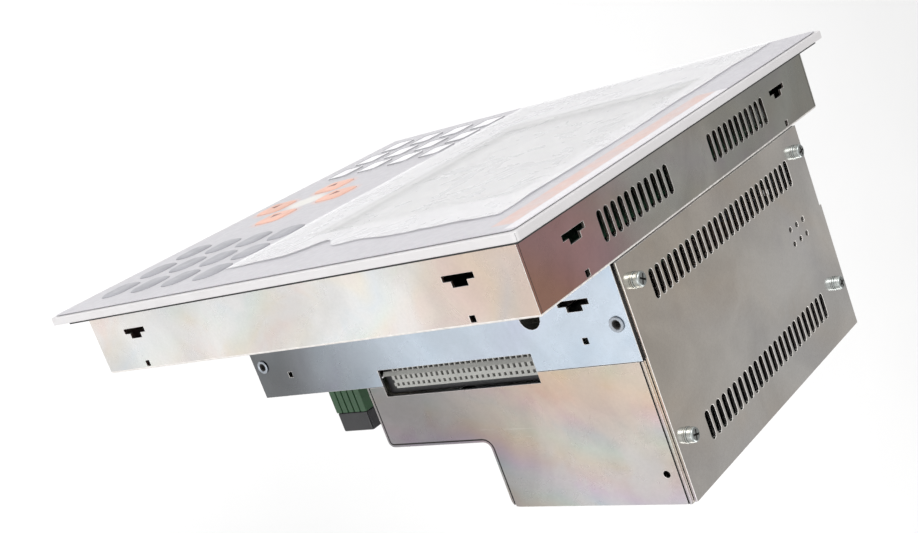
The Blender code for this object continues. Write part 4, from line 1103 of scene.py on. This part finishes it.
def make_film():
    """Shipping film that someone has smoothed on by hand: wavy edges, creases and loose folds."""
    low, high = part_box("protective_film")
    columns = round((high.x - low.x) / FILM_STEP)
    rows = round((high.z - low.z) / FILM_STEP)
    builder = bmesh.new()
    grid = []
    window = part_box("display_window")
    for row in range(rows + 1):
        line = []
        for column in range(columns + 1):
            u = column / columns
            v = row / rows
            x = low.x + FILM_INSET + (high.x - low.x - 2 * FILM_INSET) * u
            z = low.z + FILM_INSET + (high.z - low.z - 2 * FILM_INSET) * v
            edge = min(u, 1 - u, v, 1 - v)
            near = max(0.0, 1 - edge / 0.12)
            shift = film_edge(x, z) * near
            x += shift if u > 0.5 else -shift
            x -= pulled_in(z - low.z) * max(0.0, u - 0.88) / 0.12
            z += shift if v > 0.5 else -shift
            place = Vector((x * 14, z * 20, 0.7))
            folds = noise.fractal(place, 1.0, 2.1, 2)
            ridge = 1 - abs(noise.noise(Vector((x * 16 + z * 7, z * 18 - x * 6, 4.2)))) * 2
            inside = min(x - window[0].x, window[1].x - x, z - window[0].z, window[1].z - z) / FILM_CALM
            calm = 1 - 0.88 * min(max(inside, 0.0), 1.0)
            lift = FILM_LIFT * calm * (0.45 + 0.5 * folds + 0.35 * max(ridge, 0.0) ** 4)
            line.append(builder.verts.new((x, high.y - min(max(lift, 0.0), FILM_LIFT), z)))
        grid.append(line)
    for lower, upper in zip(grid, grid[1:]):
        for index in range(columns):
            builder.faces.new((lower[index], lower[index + 1], upper[index + 1], upper[index]))
    bmesh.ops.recalc_face_normals(builder, faces=builder.faces)
    film = new_piece("shipping_film", builder, finishes["film"])
    kept(film, HOUSING, "film", "protective_film")


def coat_inner_nodes():
    """The pieces inside keep their designed shape and get their finish."""
    jobs = {
        "board": ["inverter_board", "keypad_board", "main_board", "backplane_board", "power_supply_board"],
        "lcd": ["lcd_module"],
        "aluminium": ["heat_sink"],
        "brass": [f"board_standoff_{index}" for index in range(1, 5)],
    }
    slots = {"board": "board_green", "lcd": "lcd_frame"}
    slots |= {"aluminium": "sink_aluminium", "brass": "standoff_brass"}
    for material, nodes in jobs.items():
        for node in nodes:
            shown = frame["nodes"][node]
            shown.data.materials.clear()
            shown.data.materials.append(finishes[material])


# ------------------------------------------------------------------ the stage


def make_stage():
    """A pale floor well below the part, soft room light and one darker side for the metal to mirror."""
    builder = bmesh.new()
    bmesh.ops.create_circle(builder, cap_ends=True, radius=30.0, segments=64)
    for vertex in builder.verts:
        vertex.co.z = CAD_BOX[0].z - 0.32
    floor = new_piece("floor", builder, smooth=False)
    made, tree, shader = finish("floor_paper", (0.9, 0.9, 0.9), 0.9)
    tone = ramp(tree, grain(tree, coordinates(tree), 3.0), [(0.3, 0.9), (0.7, 0.92)])
    link(tree, tone, shader, "Base Color")
    floor.data.materials.append(made)
    world = bpy.data.worlds.new("studio")
    bpy.context.scene.world = world
    world.use_nodes = True
    tree = world.node_tree
    direction = put(tree, "ShaderNodeTexCoord").outputs["Generated"]
    dark_side = Vector((-0.74, 0.22, 0.64)).normalized()
    toward = along(tree, direction, tuple(dark_side))
    share = remap(tree, toward, 0.5, 0.88)
    colour = mixed(tree, share, (1.0, 1.0, 1.0), (0.38, 0.375, 0.37))
    background = tree.nodes["Background"]
    tree.links.new(colour, background.inputs["Color"])
    background.inputs["Strength"].default_value = 1.0
    add_light("key", (0.6, -1.6, 1.5), 1.2, 22)
    add_light("side", (1.8, 0.4, 0.3), 1.4, 10)
    add_light("rear", (-0.8, 1.9, 1.4), 1.2, 16)


def add_light(name, place, size, power):
    lamp = bpy.data.lights.new(name, "AREA")
    lamp.size = size
    lamp.energy = power
    made = bpy.data.objects.new(name, lamp)
    bpy.context.scene.collection.objects.link(made)
    made.location = place
    target = (CAD_BOX[0] + CAD_BOX[1]) / 2
    made.rotation_euler = (target - Vector(place)).to_track_quat("-Z", "Y").to_euler()


def make_camera():
    """Looks down on the connector side, rolled so that the front lies uppermost."""
    azimuth, elevation, roll = (math.radians(angle) for angle in (73.95, 41.09, -80.27))
    back = Vector(
        (
            math.sin(azimuth) * math.cos(elevation),
            -math.cos(azimuth) * math.cos(elevation),
            math.sin(elevation),
        )
    )
    lens = bpy.data.cameras.new("camera")
    lens.lens = 53.2
    lens.sensor_width = 36
    camera = bpy.data.objects.new("camera", lens)
    bpy.context.scene.collection.objects.link(camera)
    facing_part = (-back).to_track_quat("-Z", "Y").to_matrix().to_4x4()
    rolled = facing_part @ Matrix.Rotation(-roll, 4, "Z")
    camera.matrix_world = Matrix.Translation((0.5752, -0.1151, 0.6704)) @ rolled
    bpy.context.scene.camera = camera


make_camera()
make_stage()
bpy.context.scene.view_settings.view_transform = "Standard"
finishes = make_finishes()
spread = spread_tree()
make_tray()
make_middle_housing()
make_rear_cover()
make_top_plate()
make_bezel()
make_foil()
make_keys()
make_screws(spread)
make_nuts()
make_plain_copies()
make_connector(spread)
make_film()
coat_inner_nodes()
